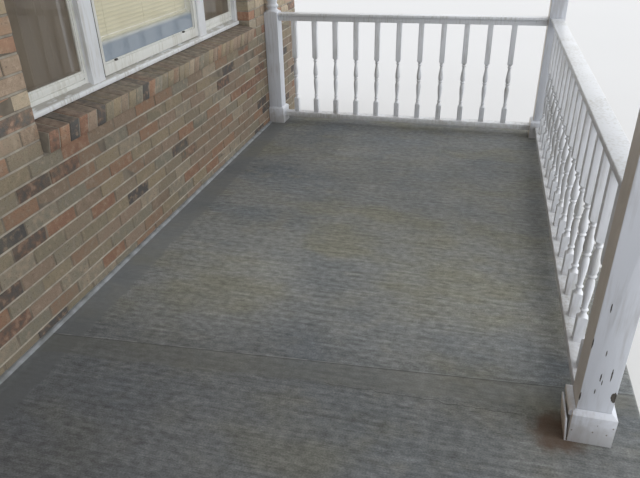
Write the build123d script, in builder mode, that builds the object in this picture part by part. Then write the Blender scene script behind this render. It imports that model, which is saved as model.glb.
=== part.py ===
from build123d import *
from math import atan, cos, radians, tan
import os

# A covered front porch on the front of a brick house, in millimetres.
# X runs along the house wall, Y points from the yard to the house and Z is up.
# The origin is the middle of the floor slab's underside, at ground level.

# Driving sizes: plan
rail_bay = 3048            # railed bay, post centre to post centre
entry_bay = 2134           # open bay in front of the door, post centre to post centre
porch_depth = 2155         # brick face to the centre line of the front posts
slab_margin = 198          # post centre line to the slab's edge
wall_overrun = 775         # house wall past the centre line of the end posts

# Driving sizes: heights
slab_height = 180          # one riser above the ground
post_height = 2438         # slab to the underside of the beams
wall_height = 3740         # top of the house wall, cut plain
opening_head = 2111        # slab to the head of the door and window openings

# Slab
slab_edge_radius = 12

# House wall
brick_thickness = 92
inner_thickness = 140
course = 67.73             # three courses to 203 mm
bed_offset = 44            # centre of the first bed joint above the slab

# Window
window_start = 286         # entry post centre to the opening's left brick corner
window_width = 2392
side_light = 545
mullion_width = 104
frame_thickness = 38
rowlock_bottom = 716       # slab to the underside of the bricks on edge
rowlock_face = 90
rowlock_slope = 15
rowlock_projection = 22
sill_thickness = 27
sill_nose = 12             # sill past the face of the window frame
sash_setback = 12          # frame face to the side sashes
sash_depth = 60
sash_step = 10             # depth of each step in the sash's face
side_stile = 26
side_bottom_rail = 62
side_meeting_rail = 34
centre_setback = 10
centre_depth = 40
centre_stile = 44
centre_bottom_rail = 78
glass_thickness = 4
glass_inset = 14           # glass behind the face of its sash
sash_lip = 10              # width of the stepped lip round each light

# Blind and curtains
blind_drop_gap = 72        # bottom of the blind above the bottom of the glass
blind_rail = 26
blind_thickness = 18
blind_head = 40
blind_side_gap = 12
curtain_gap = 22           # curtain hem above the sill
curtain_thickness = 34
curtain_side_gap = 14
rod_diameter = 16
rod_below_head = 60

# Door
door_centre = 1067         # entry post centre to the door's centre, half the entry bay
door_width = 914
door_height = 2032
door_thickness = 45
door_gap = 3
threshold_height = 25
jamb_thickness = 48
door_stop = 12
stop_depth = 36
brickmould_set = 24        # door frame's face behind the brick face
stile_width = 118
top_rail_width = 120
mid_rail_width = 110
lock_rail_width = 170
foot_rail_width = 230
panel_recess = 8
panel_rise = 22
knob_radius = 28
knob_height = 940
knob_backset = 70

# Lintels
lintel_leg = 89
lintel_steel = 8
lintel_bearing = 150

# Posts
post_width = 108
post_square = 888          # square foot of the turned posts, to just over the rail
post_turned_end = 2130     # top of the turned length
shoulder = 22
neck_radius = 39
bead_radius = 49
vase_radius = 52
shaft_radius = 43
shaft_top_radius = 37

# Base trim of the posts
trim_thickness = 19
trim_height = 100
trim_chamfer = 11
loose_board_kick = 9       # foot of the loose board away from the post

# Rails
rail_height = 865
cap_width = 82
cap_thickness = 38
cap_ease = 5
subrail_width = 38
subrail_thickness = 19
bottom_rail_width = 72
bottom_rail_thickness = 38
bottom_rail_clear = 50

# Turned balusters, heights measured up from the bottom rail
baluster_width = 38
baluster_pitch = 165.5
front_balusters_count = 17
end_balusters_count = 11
end_first_gap = 100        # clear gap between the wall post and its first baluster
foot_block = 112
head_block_start = 440
foot_ring_radius = 16
foot_cove_radius = 10
vase_low_radius = 11
vase_high_radius = 17
waist_radius = 12
bulb_radius = 18.5
thin_neck_radius = 9

# Beams, ceiling and roof
beam_width = 140
beam_height = 235
ceiling_lift = 60          # ceiling above the underside of the beams
ceiling_thickness = 12
joist_width = 38
joist_depth = 89
joist_count = 9
rafter_width = 38
rafter_depth = 140
rafter_count = 10
ledger_thickness = 38
roof_rise = 3
roof_run = 12
eaves_overhang = 300
deck_thickness = 12
shingle_thickness = 9
shingle_drip = 12
fascia_depth = 184
fascia_thickness = 19
soffit_thickness = 9
rake_cover = 12            # deck past the rake boards
flashing_leg = 120
flashing_metal = 2

# Places worked out from the driving sizes
half_posts = (rail_bay + entry_bay) / 2
far_x = half_posts
near_x = -half_posts
entry_x = far_x - rail_bay
slab_length = 2 * (half_posts + slab_margin)
slab_depth = porch_depth + slab_margin
brick_y = slab_depth / 2
front_y = brick_y - porch_depth
inner_y = brick_y + brick_thickness
back_y = inner_y + inner_thickness
wall_length = 2 * (half_posts + wall_overrun)
wall_post_y = brick_y - post_width / 2
post_top = slab_height + post_height
beam_top = post_top + beam_height

window_left = entry_x + window_start
window_right = window_left + window_width
window_middle = (window_left + window_right) / 2
rowlock_back = rowlock_bottom + rowlock_face + tan(radians(rowlock_slope)) * (brick_thickness + rowlock_projection)
sill_top = rowlock_back + sill_thickness
door_x = entry_x - door_centre
door_opening = door_width + 2 * (door_gap + jamb_thickness)

slope = roof_rise / roof_run
pitch = atan(slope)
beam_inner_y = front_y + beam_width / 2
beam_outer_y = front_y - beam_width / 2
tail_y = beam_outer_y - eaves_overhang
rafter_rise = rafter_depth / cos(pitch)
roof_half = half_posts + beam_width / 2


def underside(y):
    """Height of the rafters' underside at a place across the porch."""
    return beam_top + slope * (y - beam_inner_y)


def sheet_outline(y_low, y_high, lift, depth):
    """A sloping board's side view: lift is its underside above the rafters' underside."""
    return [
        (y_low, underside(y_low) + lift),
        (y_high, underside(y_high) + lift),
        (y_high, underside(y_high) + lift + depth),
        (y_low, underside(y_low) + lift + depth),
    ]


def finish_piece(part, name):
    """Label one finished piece and write it to its own file."""
    part.label = name
    export_step(part, f"parts/{name}.step")


os.makedirs("parts", exist_ok=True)


# Concrete floor slab with its top edge rounded by the edging tool on the three open sides
with BuildPart() as porch_slab:
    Box(slab_length, slab_depth, slab_height, align=(Align.CENTER, Align.CENTER, Align.MIN))
    top_edges = porch_slab.edges().group_by(Axis.Z)[-1]
    fillet([edge for edge in top_edges if edge.center().Y < brick_y - 1], slab_edge_radius)
finish_piece(porch_slab.part, "porch_slab")


# Concrete under the inner leaf
with BuildPart() as foundation_wall:
    with Locations((0, inner_y, 0)):
        Box(wall_length, inner_thickness, slab_height, align=(Align.CENTER, Align.MIN, Align.MIN))
finish_piece(foundation_wall.part, "foundation_wall")


def wall_leaf(y_start, thickness, z_start, window_foot):
    """One leaf of the house wall with its window and door cut through."""
    head = slab_height + opening_head
    with BuildPart() as leaf:
        with Locations((0, y_start, z_start)):
            Box(wall_length, thickness, wall_height - z_start, align=(Align.CENTER, Align.MIN, Align.MIN))
        with Locations((window_middle, y_start, slab_height + window_foot)):
            Box(window_width, thickness, head - slab_height - window_foot,
                align=(Align.CENTER, Align.MIN, Align.MIN), mode=Mode.SUBTRACT)
        with Locations((door_x, y_start, slab_height)):
            Box(door_opening, thickness, opening_head,
                align=(Align.CENTER, Align.MIN, Align.MIN), mode=Mode.SUBTRACT)
    return leaf.part


def lintel_bars():
    """Flat legs of the steel angles over both openings, with their bearings in the brick."""
    with BuildPart() as bars:
        for middle, width in ((window_middle, window_width), (door_x, door_opening)):
            with Locations((middle, inner_y, slab_height + opening_head)):
                Box(width + 2 * lintel_bearing, lintel_leg, lintel_steel,
                    align=(Align.CENTER, Align.MAX, Align.MIN))
    return bars.part


# Brick veneer, with the slots for the lintels in its bed joint, and the framed leaf behind it
with BuildPart() as brick_wall:
    add(wall_leaf(brick_y, brick_thickness, 0, rowlock_bottom))
    add(lintel_bars(), mode=Mode.SUBTRACT)
finish_piece(brick_wall.part, "brick_wall")
finish_piece(wall_leaf(inner_y, inner_thickness, slab_height, rowlock_back), "inner_wall")
finish_piece(lintel_bars(), "brick_lintels")


# Bricks on edge under the window, sloping to shed water
with BuildPart() as rowlock_sill:
    with BuildSketch(Plane.YZ.offset(window_left)):
        with BuildLine():
            Polyline(
                (brick_y - rowlock_projection, slab_height + rowlock_bottom),
                (inner_y, slab_height + rowlock_bottom),
                (inner_y, slab_height + rowlock_back),
                (brick_y - rowlock_projection, slab_height + rowlock_bottom + rowlock_face),
                close=True,
            )
        make_face()
    extrude(amount=window_width)
finish_piece(rowlock_sill.part, "rowlock_sill")


# Window frame: head, two jambs and two broad mullions round three lights
light_width = window_width - 2 * side_light - 2 * mullion_width
window_head = slab_height + opening_head
frame_foot = slab_height + sill_top
lights = {
    "left": (window_left + frame_thickness, window_left + side_light),
    "centre": (window_middle - light_width / 2, window_middle + light_width / 2),
    "right": (window_right - side_light, window_right - frame_thickness),
}
light_height = window_head - frame_thickness - frame_foot

with BuildPart() as window_frame:
    with Locations((window_middle, inner_y, frame_foot)):
        Box(window_width, inner_thickness, window_head - frame_foot, align=(Align.CENTER, Align.MIN, Align.MIN))
    for x_start, x_end in lights.values():
        with Locations((x_start, inner_y, frame_foot)):
            Box(x_end - x_start, inner_thickness, light_height,
                align=(Align.MIN, Align.MIN, Align.MIN), mode=Mode.SUBTRACT)
finish_piece(window_frame.part, "window_frame")


# Timber sill under the frame, its nose rounded and standing a little past the frame
with BuildPart() as window_sill:
    with Locations((window_middle, inner_y - sill_nose, slab_height + rowlock_back)):
        Box(window_width, inner_thickness + sill_nose, sill_thickness, align=(Align.CENTER, Align.MIN, Align.MIN))
    fillet(window_sill.edges().filter_by(Axis.X).group_by(Axis.Y)[0].sort_by(Axis.Z)[-1], 6)
finish_piece(window_sill.part, "window_sill")


def stepped_sash(x_start, x_end, face_y, depth, stile, bottom_rail, lights_high, meeting_rail):
    """A sash whose face steps back to the glass, with its lights one above the other."""
    width = x_end - x_start
    clear = (light_height - bottom_rail - stile - meeting_rail * (lights_high - 1)) / lights_high
    panes = []
    with BuildPart() as sash:
        with Locations((x_start, face_y, frame_foot)):
            Box(width, depth, light_height, align=(Align.MIN, Align.MIN, Align.MIN))
        for index in range(lights_high):
            foot = frame_foot + bottom_rail + index * (clear + meeting_rail)
            pane = (x_start + stile, foot, width - 2 * stile, clear)
            panes.append(pane)
            with Locations((pane[0], face_y, pane[1])):
                Box(pane[2], depth, pane[3], align=(Align.MIN, Align.MIN, Align.MIN), mode=Mode.SUBTRACT)
            with Locations((pane[0] - sash_lip, face_y, pane[1] - sash_lip)):
                Box(pane[2] + 2 * sash_lip, sash_step, pane[3] + 2 * sash_lip,
                    align=(Align.MIN, Align.MIN, Align.MIN), mode=Mode.SUBTRACT)
    return sash.part, panes


side_face_y = inner_y + sash_setback
centre_face_y = inner_y + centre_setback
left_sash, left_panes = stepped_sash(
    *lights["left"], side_face_y, sash_depth, side_stile, side_bottom_rail, 2, side_meeting_rail)
right_sash, right_panes = stepped_sash(
    *lights["right"], side_face_y, sash_depth, side_stile, side_bottom_rail, 2, side_meeting_rail)
centre_sash, centre_panes = stepped_sash(
    *lights["centre"], centre_face_y, centre_depth, centre_stile, centre_bottom_rail, 1, 0)
finish_piece(left_sash, "left_window_sash")
finish_piece(centre_sash, "centre_window_sash")
finish_piece(right_sash, "right_window_sash")


# Panes, each held between the edges of its light
with BuildPart() as window_glass:
    for face_y, panes in ((side_face_y, left_panes + right_panes), (centre_face_y, centre_panes)):
        for x_start, foot, width, height in panes:
            with Locations((x_start, face_y + glass_inset, foot)):
                Box(width, glass_thickness, height, align=(Align.MIN, Align.MIN, Align.MIN))
finish_piece(window_glass.part, "window_glass")


# Slatted blind behind the middle light: head box, closed slats and bottom rail in one curtain
centre_start, centre_end = lights["centre"]
blind_y = centre_face_y + centre_depth + 12
blind_foot = centre_panes[0][1] + blind_drop_gap
with BuildPart() as window_blind:
    with Locations((window_middle, blind_y, frame_foot + light_height)):
        Box(light_width, blind_head, blind_head, align=(Align.CENTER, Align.MIN, Align.MAX))
    with Locations((window_middle, blind_y + 8, blind_foot)):
        Box(light_width - 2 * blind_side_gap, 4, frame_foot + light_height - blind_head - blind_foot,
            align=(Align.CENTER, Align.MIN, Align.MIN))
        Box(light_width - 2 * blind_side_gap, blind_thickness, blind_rail, align=(Align.CENTER, Align.MIN, Align.MIN))
finish_piece(window_blind.part, "window_blind")


# Rods across both side lights, from jamb to mullion, with a curtain on each
rod_y = side_face_y + sash_depth + curtain_thickness / 2 + 4
rod_z = frame_foot + light_height - rod_below_head
side_lights = (lights["left"], lights["right"])
with BuildPart() as curtain_rods:
    for x_start, x_end in side_lights:
        with BuildSketch(Plane.YZ.offset(x_start)):
            with Locations((rod_y, rod_z)):
                Circle(rod_diameter / 2)
        extrude(amount=x_end - x_start)
finish_piece(curtain_rods.part, "curtain_rods")

with BuildPart() as window_curtains:
    for x_start, x_end in side_lights:
        with Locations(((x_start + x_end) / 2, rod_y, frame_foot + curtain_gap)):
            Box(x_end - x_start - 2 * curtain_side_gap, curtain_thickness,
                rod_z - rod_diameter / 2 - frame_foot - curtain_gap,
                align=(Align.CENTER, Align.CENTER, Align.MIN))
finish_piece(window_curtains.part, "window_curtains")


# Door frame with its stops, from a little behind the brick face to the room side
frame_face_y = brick_y + brickmould_set
frame_depth = back_y - frame_face_y
clear_width = door_width + 2 * door_gap
clear_height = threshold_height + door_gap + door_height + door_gap
leaf_y = back_y - door_thickness
with BuildPart() as door_frame:
    with Locations((door_x, frame_face_y, slab_height)):
        Box(door_opening, frame_depth, opening_head, align=(Align.CENTER, Align.MIN, Align.MIN))
        Box(clear_width, frame_depth, clear_height, align=(Align.CENTER, Align.MIN, Align.MIN), mode=Mode.SUBTRACT)
    with Locations((door_x, leaf_y - stop_depth, slab_height)):
        Box(clear_width, stop_depth, clear_height, align=(Align.CENTER, Align.MIN, Align.MIN))
        Box(clear_width - 2 * door_stop, stop_depth, clear_height - door_stop,
            align=(Align.CENTER, Align.MIN, Align.MIN), mode=Mode.SUBTRACT)
finish_piece(door_frame.part, "door_frame")


# Threshold between the jambs and under the leaf, its tread sloping towards the porch
threshold_y = leaf_y - stop_depth
with BuildPart() as door_threshold:
    with BuildSketch(Plane.YZ.offset(door_x - clear_width / 2 + door_stop)):
        with BuildLine():
            Polyline(
                (frame_face_y, slab_height),
                (back_y, slab_height),
                (back_y, slab_height + threshold_height),
                (threshold_y, slab_height + threshold_height),
                (frame_face_y, slab_height + threshold_height / 2),
                close=True,
            )
        make_face()
    extrude(amount=clear_width - 2 * door_stop)
finish_piece(door_threshold.part, "door_threshold")


# Six-panel leaf: each panel is sunk with a raised field, on both faces
leaf_foot = slab_height + threshold_height + door_gap
panel_width = (door_width - 3 * stile_width) / 2
panel_room = door_height - foot_rail_width - lock_rail_width - mid_rail_width - top_rail_width
panel_heights = (panel_room * 0.37, panel_room * 0.46, panel_room * 0.17)
panel_feet = (
    foot_rail_width,
    foot_rail_width + panel_heights[0] + lock_rail_width,
    foot_rail_width + panel_heights[0] + lock_rail_width + panel_heights[1] + mid_rail_width,
)
panel_offset = (panel_width + stile_width) / 2
with BuildPart() as door_leaf:
    with Locations((door_x, leaf_y, leaf_foot)):
        Box(door_width, door_thickness, door_height, align=(Align.CENTER, Align.MIN, Align.MIN))
    for face_y, inward in ((leaf_y, 1), (back_y, -1)):
        for foot, height in zip(panel_feet, panel_heights):
            centre_z = leaf_foot + foot + height / 2
            for x in (door_x - panel_offset, door_x + panel_offset):
                with BuildSketch(Plane((x, face_y, centre_z), x_dir=(1, 0, 0), z_dir=(0, inward, 0))):
                    Rectangle(panel_width, height)
                    Rectangle(panel_width - 2 * panel_rise, height - 2 * panel_rise, mode=Mode.SUBTRACT)
                extrude(amount=panel_recess, mode=Mode.SUBTRACT)
finish_piece(door_leaf.part, "door_leaf")


# Knobs and roses, turned, one on each face of the leaf
knob_x = door_x + door_width / 2 - knob_backset
knob_z = leaf_foot + knob_height
with BuildPart() as door_knob:
    for face_y, outward in ((leaf_y, -1), (back_y, 1)):
        knob_plane = Plane((knob_x, face_y, knob_z), x_dir=(1, 0, 0), z_dir=(0, 0, 1))
        with BuildSketch(knob_plane):
            with BuildLine():
                Polyline((0, 0), (knob_radius + 4, 0), (knob_radius + 2, outward * 6), (11, outward * 9),
                         (11, outward * 30))
                Spline((11, outward * 30), (knob_radius, outward * 46), (0, outward * 62))
                Line((0, outward * 62), (0, 0))
            make_face()
        revolve(axis=Axis((knob_x, face_y, knob_z), (0, 1, 0)))
finish_piece(door_knob.part, "door_knob")


def post_profile():
    """Half outline of a turned porch post, as radius and height above the slab."""
    corner = post_width
    turned = post_turned_end - post_square
    low = post_square
    top = post_turned_end
    return [
        (0, 0), (corner, 0), (corner, low),
        (neck_radius + 4, low + shoulder), (neck_radius, low + shoulder + 14),
        (bead_radius, low + shoulder + 26), (bead_radius, low + shoulder + 40),
        (neck_radius, low + shoulder + 52), (neck_radius, low + shoulder + 66),
        (vase_radius, low + shoulder + 96), (vase_radius, low + shoulder + 150),
        (shaft_radius, low + turned * 0.27), (neck_radius - 3, low + turned * 0.33),
        (bead_radius, low + turned * 0.345), (bead_radius, low + turned * 0.365),
        (shaft_radius, low + turned * 0.38), (shaft_top_radius, top - 120),
        (bead_radius - 2, top - 104), (bead_radius - 2, top - 88),
        (shaft_top_radius, top - 72), (neck_radius + 4, top - shoulder),
        (corner, top), (corner, post_height), (0, post_height),
    ]


def turned_piece(profile, x, y, foot, width):
    """A square length of timber turned between its blocks: the turning cut out of the square."""
    with BuildPart() as piece:
        with BuildSketch(Plane((x, y, foot), x_dir=(1, 0, 0), z_dir=(0, -1, 0))):
            with BuildLine():
                Polyline(*profile, close=True)
            make_face()
        revolve(axis=Axis((x, y, foot), (0, 0, 1)))
        with Locations((x, y, foot)):
            Box(width, width, profile[-1][1], align=(Align.CENTER, Align.CENTER, Align.MIN), mode=Mode.INTERSECT)
    return piece.part


posts = {
    "far_wall_post": (far_x, wall_post_y),
    "far_corner_post": (far_x, front_y),
    "entry_post": (entry_x, front_y),
    "near_corner_post": (near_x, front_y),
    "near_wall_post": (near_x, wall_post_y),
}
for name, (x, y) in posts.items():
    finish_piece(turned_piece(post_profile(), x, y, slab_height, post_width), name)


def base_trim(x, y, to_wall):
    """Boards mitred round a post's foot, chamfered on top; at the wall the fourth side stays open."""
    outer = post_width + 2 * trim_thickness
    with BuildPart() as trim:
        with Locations((x, y, slab_height)):
            Box(outer, outer, trim_height, align=(Align.CENTER, Align.CENTER, Align.MIN))
        chamfer(trim.faces().sort_by(Axis.Z)[-1].edges(), trim_chamfer)
        with Locations((x, y, slab_height)):
            Box(post_width, post_width, trim_height, align=(Align.CENTER, Align.CENTER, Align.MIN),
                mode=Mode.SUBTRACT)
        if to_wall:
            with Locations((x, y + post_width / 2, slab_height)):
                Box(outer, outer, trim_height, align=(Align.CENTER, Align.MIN, Align.MIN), mode=Mode.SUBTRACT)
    return trim.part


for name, (x, y) in posts.items():
    if name != "entry_post":
        finish_piece(base_trim(x, y, name.endswith("wall_post")), f"{name}_base")

# The entry post's base has lost the hold of its board on the house side: it leans, foot outwards
loose_y = front_y + post_width / 2
with BuildPart() as entry_post_base:
    add(base_trim(entry_x, front_y, False))
    with Locations((entry_x, loose_y, slab_height)):
        Box(post_width + 2 * trim_thickness, 2 * trim_thickness, trim_height,
            align=(Align.CENTER, Align.MIN, Align.MIN), mode=Mode.SUBTRACT)
    with BuildSketch(Plane.YZ.offset(entry_x - post_width / 2)):
        with BuildLine():
            Polyline(
                (loose_y + loose_board_kick + 0.3, slab_height),
                (loose_y + loose_board_kick + 0.3 + trim_thickness, slab_height),
                (loose_y + 0.3 + trim_thickness, slab_height + trim_height - trim_chamfer),
                (loose_y + 0.3 + trim_chamfer / 2, slab_height + trim_height),
                (loose_y + 0.3, slab_height + trim_height),
                close=True,
            )
        make_face()
    extrude(amount=post_width)
finish_piece(entry_post_base.part, "entry_post_base")


# Rails: each run lies along X or along Y between the faces of two posts
rail_runs = {
    "front": ("x", entry_x + post_width / 2, far_x - post_width / 2, front_y),
    "far": ("y", front_y + post_width / 2, wall_post_y - post_width / 2, far_x),
    "near": ("y", front_y + post_width / 2, wall_post_y - post_width / 2, near_x),
}
cap_underside = slab_height + rail_height - cap_thickness
baluster_foot = slab_height + bottom_rail_clear + bottom_rail_thickness
baluster_length = cap_underside - subrail_thickness - baluster_foot


def rail_plane(direction, start, line):
    """Cross-section plane at the start of a run, looking along it, with its own x across the rail."""
    if direction == "x":
        return Plane((start, line, 0), x_dir=(0, 1, 0), z_dir=(1, 0, 0))
    return Plane((line, start, 0), x_dir=(-1, 0, 0), z_dir=(0, 1, 0))


def top_rail(direction, start, end, line):
    """Flat cap with eased edges and the narrow sub-rail that takes the balusters' heads."""
    with BuildPart() as rail:
        with BuildSketch(rail_plane(direction, start, line)):
            with Locations((0, cap_underside + cap_thickness / 2)):
                Rectangle(cap_width, cap_thickness)
            with Locations((0, cap_underside - subrail_thickness / 2)):
                Rectangle(subrail_width, subrail_thickness)
        extrude(amount=end - start)
        along = Axis.X if direction == "x" else Axis.Y
        chamfer(rail.edges().filter_by(along).group_by(Axis.Z)[-1], cap_ease)
    return rail.part


def bottom_rail(direction, start, end, line):
    """Flat rail that carries the balusters' feet, from one post's base trim to the next."""
    with BuildPart() as rail:
        with BuildSketch(rail_plane(direction, start + trim_thickness, line)):
            with Locations((0, baluster_foot - bottom_rail_thickness / 2)):
                Rectangle(bottom_rail_width, bottom_rail_thickness)
        extrude(amount=end - start - 2 * trim_thickness)
    return rail.part


def baluster_profile():
    """Half outline of a turned baluster, as radius and height above the bottom rail."""
    corner = baluster_width
    foot = foot_block
    head = head_block_start
    return [
        (0, 0), (corner, 0), (corner, foot - 4), (foot_ring_radius, foot + 4),
        (foot_cove_radius, foot + 22), (foot_ring_radius, foot + 28), (foot_ring_radius, foot + 34),
        (vase_low_radius, foot + 42), (vase_high_radius, head - 186),
        (waist_radius, head - 160), (bulb_radius, head - 152), (bulb_radius, head - 144),
        (waist_radius + 2, head - 138), (bulb_radius, head - 130), (bulb_radius, head - 100),
        (thin_neck_radius, head - 34), (foot_ring_radius, head - 26), (foot_ring_radius, head - 18),
        (thin_neck_radius + 3, head - 10), (foot_ring_radius, head - 4),
        (corner, head + 4), (corner, baluster_length), (0, baluster_length),
    ]


def baluster_row(direction, start, end, line):
    """A run of turned balusters, spaced evenly on the front and from the wall post at the ends."""
    if direction == "x":
        step = (end - start) / (front_balusters_count + 1)
        places = [(start + step * (index + 1), line) for index in range(front_balusters_count)]
    else:
        first = end - end_first_gap - baluster_width / 2
        places = [(line, first - baluster_pitch * index) for index in range(end_balusters_count)]
    pattern = turned_piece(baluster_profile(), 0, 0, baluster_foot, baluster_width)
    with BuildPart() as row:
        with Locations(*[(x, y, 0) for x, y in places]):
            add(pattern)
    return row.part


for name, run in rail_runs.items():
    finish_piece(top_rail(*run), f"{name}_top_rail")
    finish_piece(bottom_rail(*run), f"{name}_bottom_rail")
    finish_piece(baluster_row(*run), f"{name}_balusters")


# Boxed beams on the posts: one along the front, one to the wall at each end
with BuildPart() as front_beam:
    with Locations((0, front_y, post_top)):
        Box(2 * roof_half, beam_width, beam_height, align=(Align.CENTER, Align.CENTER, Align.MIN))
finish_piece(front_beam.part, "front_beam")

for name, x in (("far_beam", far_x), ("near_beam", near_x)):
    with BuildPart() as end_beam:
        with Locations((x, beam_inner_y, post_top)):
            Box(beam_width, brick_y - beam_inner_y, beam_height, align=(Align.CENTER, Align.MIN, Align.MIN))
    finish_piece(end_beam.part, name)


# Ceiling between the beams and the house
ceiling_length = 2 * half_posts - beam_width
ceiling_depth = brick_y - beam_inner_y
ceiling_z = post_top + ceiling_lift
with BuildPart() as ceiling:
    with Locations((0, beam_inner_y, ceiling_z)):
        Box(ceiling_length, ceiling_depth, ceiling_thickness, align=(Align.CENTER, Align.MIN, Align.MIN))
finish_piece(ceiling.part, "ceiling")


# Ceiling joists from the front beam to the house
joist_step = (ceiling_length - joist_width) / (joist_count - 1)
with BuildPart() as ceiling_joists:
    for index in range(joist_count):
        x = -ceiling_length / 2 + joist_width / 2 + joist_step * index
        with Locations((x, beam_inner_y, ceiling_z + ceiling_thickness)):
            Box(joist_width, ceiling_depth, joist_depth, align=(Align.CENTER, Align.MIN, Align.MIN))
finish_piece(ceiling_joists.part, "ceiling_joists")


# Rafters notched over the front beam, with the ledger on the house that takes their heels
heel_y = brick_y - ledger_thickness
rafter_step = (2 * roof_half - rafter_width) / (rafter_count - 1)
with BuildPart() as roof_framing:
    for index in range(rafter_count):
        with BuildSketch(Plane.YZ.offset(-roof_half + rafter_step * index)):
            with BuildLine():
                Polyline(
                    (heel_y, underside(heel_y)),
                    (beam_inner_y, beam_top),
                    (beam_outer_y, beam_top),
                    (beam_outer_y, underside(beam_outer_y)),
                    (tail_y, underside(tail_y)),
                    (tail_y, underside(tail_y) + rafter_rise),
                    (heel_y, underside(heel_y) + rafter_rise),
                    close=True,
                )
            make_face()
        extrude(amount=rafter_width)
    with BuildSketch(Plane.YZ.offset(-roof_half)):
        with BuildLine():
            Polyline(*sheet_outline(heel_y, brick_y, 0, rafter_rise), close=True)
        make_face()
    extrude(amount=2 * roof_half)
finish_piece(roof_framing.part, "roof_framing")


def roof_sheet(x_start, x_end, outline):
    """A piece of the roof with one side view all along it."""
    with BuildPart() as sheet:
        with BuildSketch(Plane.YZ.offset(x_start)):
            with BuildLine():
                Polyline(*outline, close=True)
            make_face()
        extrude(amount=x_end - x_start)
    return sheet.part


# Roof boarding, shingles, and the metal flashing turned up the wall
fascia_y = tail_y - fascia_thickness
deck_half = roof_half + fascia_thickness + rake_cover
deck_rise = deck_thickness / cos(pitch)
shingle_rise = shingle_thickness / cos(pitch)
deck_low_y = fascia_y - shingle_drip
finish_piece(
    roof_sheet(-deck_half, deck_half, sheet_outline(deck_low_y, brick_y, rafter_rise, deck_rise)), "roof_deck")
shingle_low_y = deck_low_y - shingle_drip
shingle_lift = rafter_rise + deck_rise
finish_piece(
    roof_sheet(-deck_half - shingle_drip, deck_half + shingle_drip,
               sheet_outline(shingle_low_y, brick_y, shingle_lift, shingle_rise)), "roof_shingles")

flashing_foot = underside(brick_y) + shingle_lift + shingle_rise
flashing_run = flashing_leg * cos(pitch)
flashing_outline = [
    (brick_y, flashing_foot),
    (brick_y, flashing_foot + flashing_leg),
    (brick_y - flashing_metal, flashing_foot + flashing_leg),
    (brick_y - flashing_metal, flashing_foot + flashing_metal - slope * flashing_metal),
    (brick_y - flashing_run, flashing_foot + flashing_metal - slope * flashing_run),
    (brick_y - flashing_run, flashing_foot - slope * flashing_run),
]
finish_piece(roof_sheet(-deck_half, deck_half, flashing_outline), "wall_flashing")


# Fascia along the eaves and a rake board up each end
fascia_top = underside(tail_y) + rafter_rise
with BuildPart() as front_fascia:
    with BuildSketch(Plane.YZ.offset(-roof_half - fascia_thickness)):
        with BuildLine():
            Polyline(
                (tail_y, fascia_top),
                (fascia_y, fascia_top - slope * fascia_thickness),
                (fascia_y, fascia_top - fascia_depth),
                (tail_y, fascia_top - fascia_depth),
                close=True,
            )
        make_face()
    extrude(amount=2 * (roof_half + fascia_thickness))
finish_piece(front_fascia.part, "front_fascia")

rake_outline = sheet_outline(tail_y, brick_y, rafter_rise - fascia_depth, fascia_depth)
with BuildPart() as rake_boards:
    for x in (-roof_half - fascia_thickness, roof_half):
        with BuildSketch(Plane.YZ.offset(x)):
            with BuildLine():
                Polyline(*rake_outline, close=True)
            make_face()
        extrude(amount=fascia_thickness)
finish_piece(rake_boards.part, "rake_boards")


# Sloping soffit under the rafter tails
soffit_rise = soffit_thickness / cos(pitch)
finish_piece(
    roof_sheet(-roof_half, roof_half, sheet_outline(tail_y, beam_outer_y, -soffit_rise, soffit_rise)), "soffit")


# Boarded triangles between the end beams and the end rafters
with BuildPart() as gable_panels:
    for x in (-roof_half, roof_half - rafter_width):
        with BuildSketch(Plane.YZ.offset(x)):
            with BuildLine():
                Polyline((beam_inner_y, beam_top), (brick_y, beam_top), (brick_y, underside(brick_y)), close=True)
            make_face()
        extrude(amount=rafter_width)
finish_piece(gable_panels.part, "gable_panels")
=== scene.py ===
# %% [markdown]
# The porch comes as plain solids in one fixed frame, in metres, with the yard towards -Y and
# the house wall along X. Everything below is laid over those solids: a piece that is only
# a surface gets a finish, and a piece whose real shape is finer gets a new mesh in its place.

# %% Load the frame
import random
from math import atan, cos, pi, radians, sin, tan

import bpy
import numpy as np
from mathutils import Matrix, Vector


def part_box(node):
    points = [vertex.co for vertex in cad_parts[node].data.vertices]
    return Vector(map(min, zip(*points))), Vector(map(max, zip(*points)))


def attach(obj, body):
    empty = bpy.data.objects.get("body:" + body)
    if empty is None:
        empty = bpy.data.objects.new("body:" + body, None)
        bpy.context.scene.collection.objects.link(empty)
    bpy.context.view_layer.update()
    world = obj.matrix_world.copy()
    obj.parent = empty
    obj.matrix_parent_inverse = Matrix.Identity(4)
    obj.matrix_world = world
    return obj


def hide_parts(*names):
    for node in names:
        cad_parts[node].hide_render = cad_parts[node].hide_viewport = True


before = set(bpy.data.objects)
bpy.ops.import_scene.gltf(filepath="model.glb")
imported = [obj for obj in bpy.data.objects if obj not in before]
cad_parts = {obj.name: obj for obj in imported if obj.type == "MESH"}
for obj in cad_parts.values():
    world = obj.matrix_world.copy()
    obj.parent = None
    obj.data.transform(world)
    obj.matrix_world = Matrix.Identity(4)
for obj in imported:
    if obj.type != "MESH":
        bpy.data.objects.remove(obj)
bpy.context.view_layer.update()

print("frame loaded with", len(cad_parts), "pieces")

# %% [markdown]
# The camera stands where the photographer stood, under the porch roof near its open end,
# looking along the railed bay and down at the floor. Its place and its three directions were
# worked out from known sizes: brick courses, the slab, the rail and the window.

# %% Camera
CAMERA_PLACE = Vector((-2.1135, -0.5148, 1.7627))
LOOKS_ALONG = Vector((0.84308, 0.23291, -0.48473))
TO_THE_RIGHT = Vector((0.25390, -0.96696, -0.02302))
UPWARDS = Vector((0.47408, 0.10367, 0.87436))
LENS = 33.765

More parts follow.
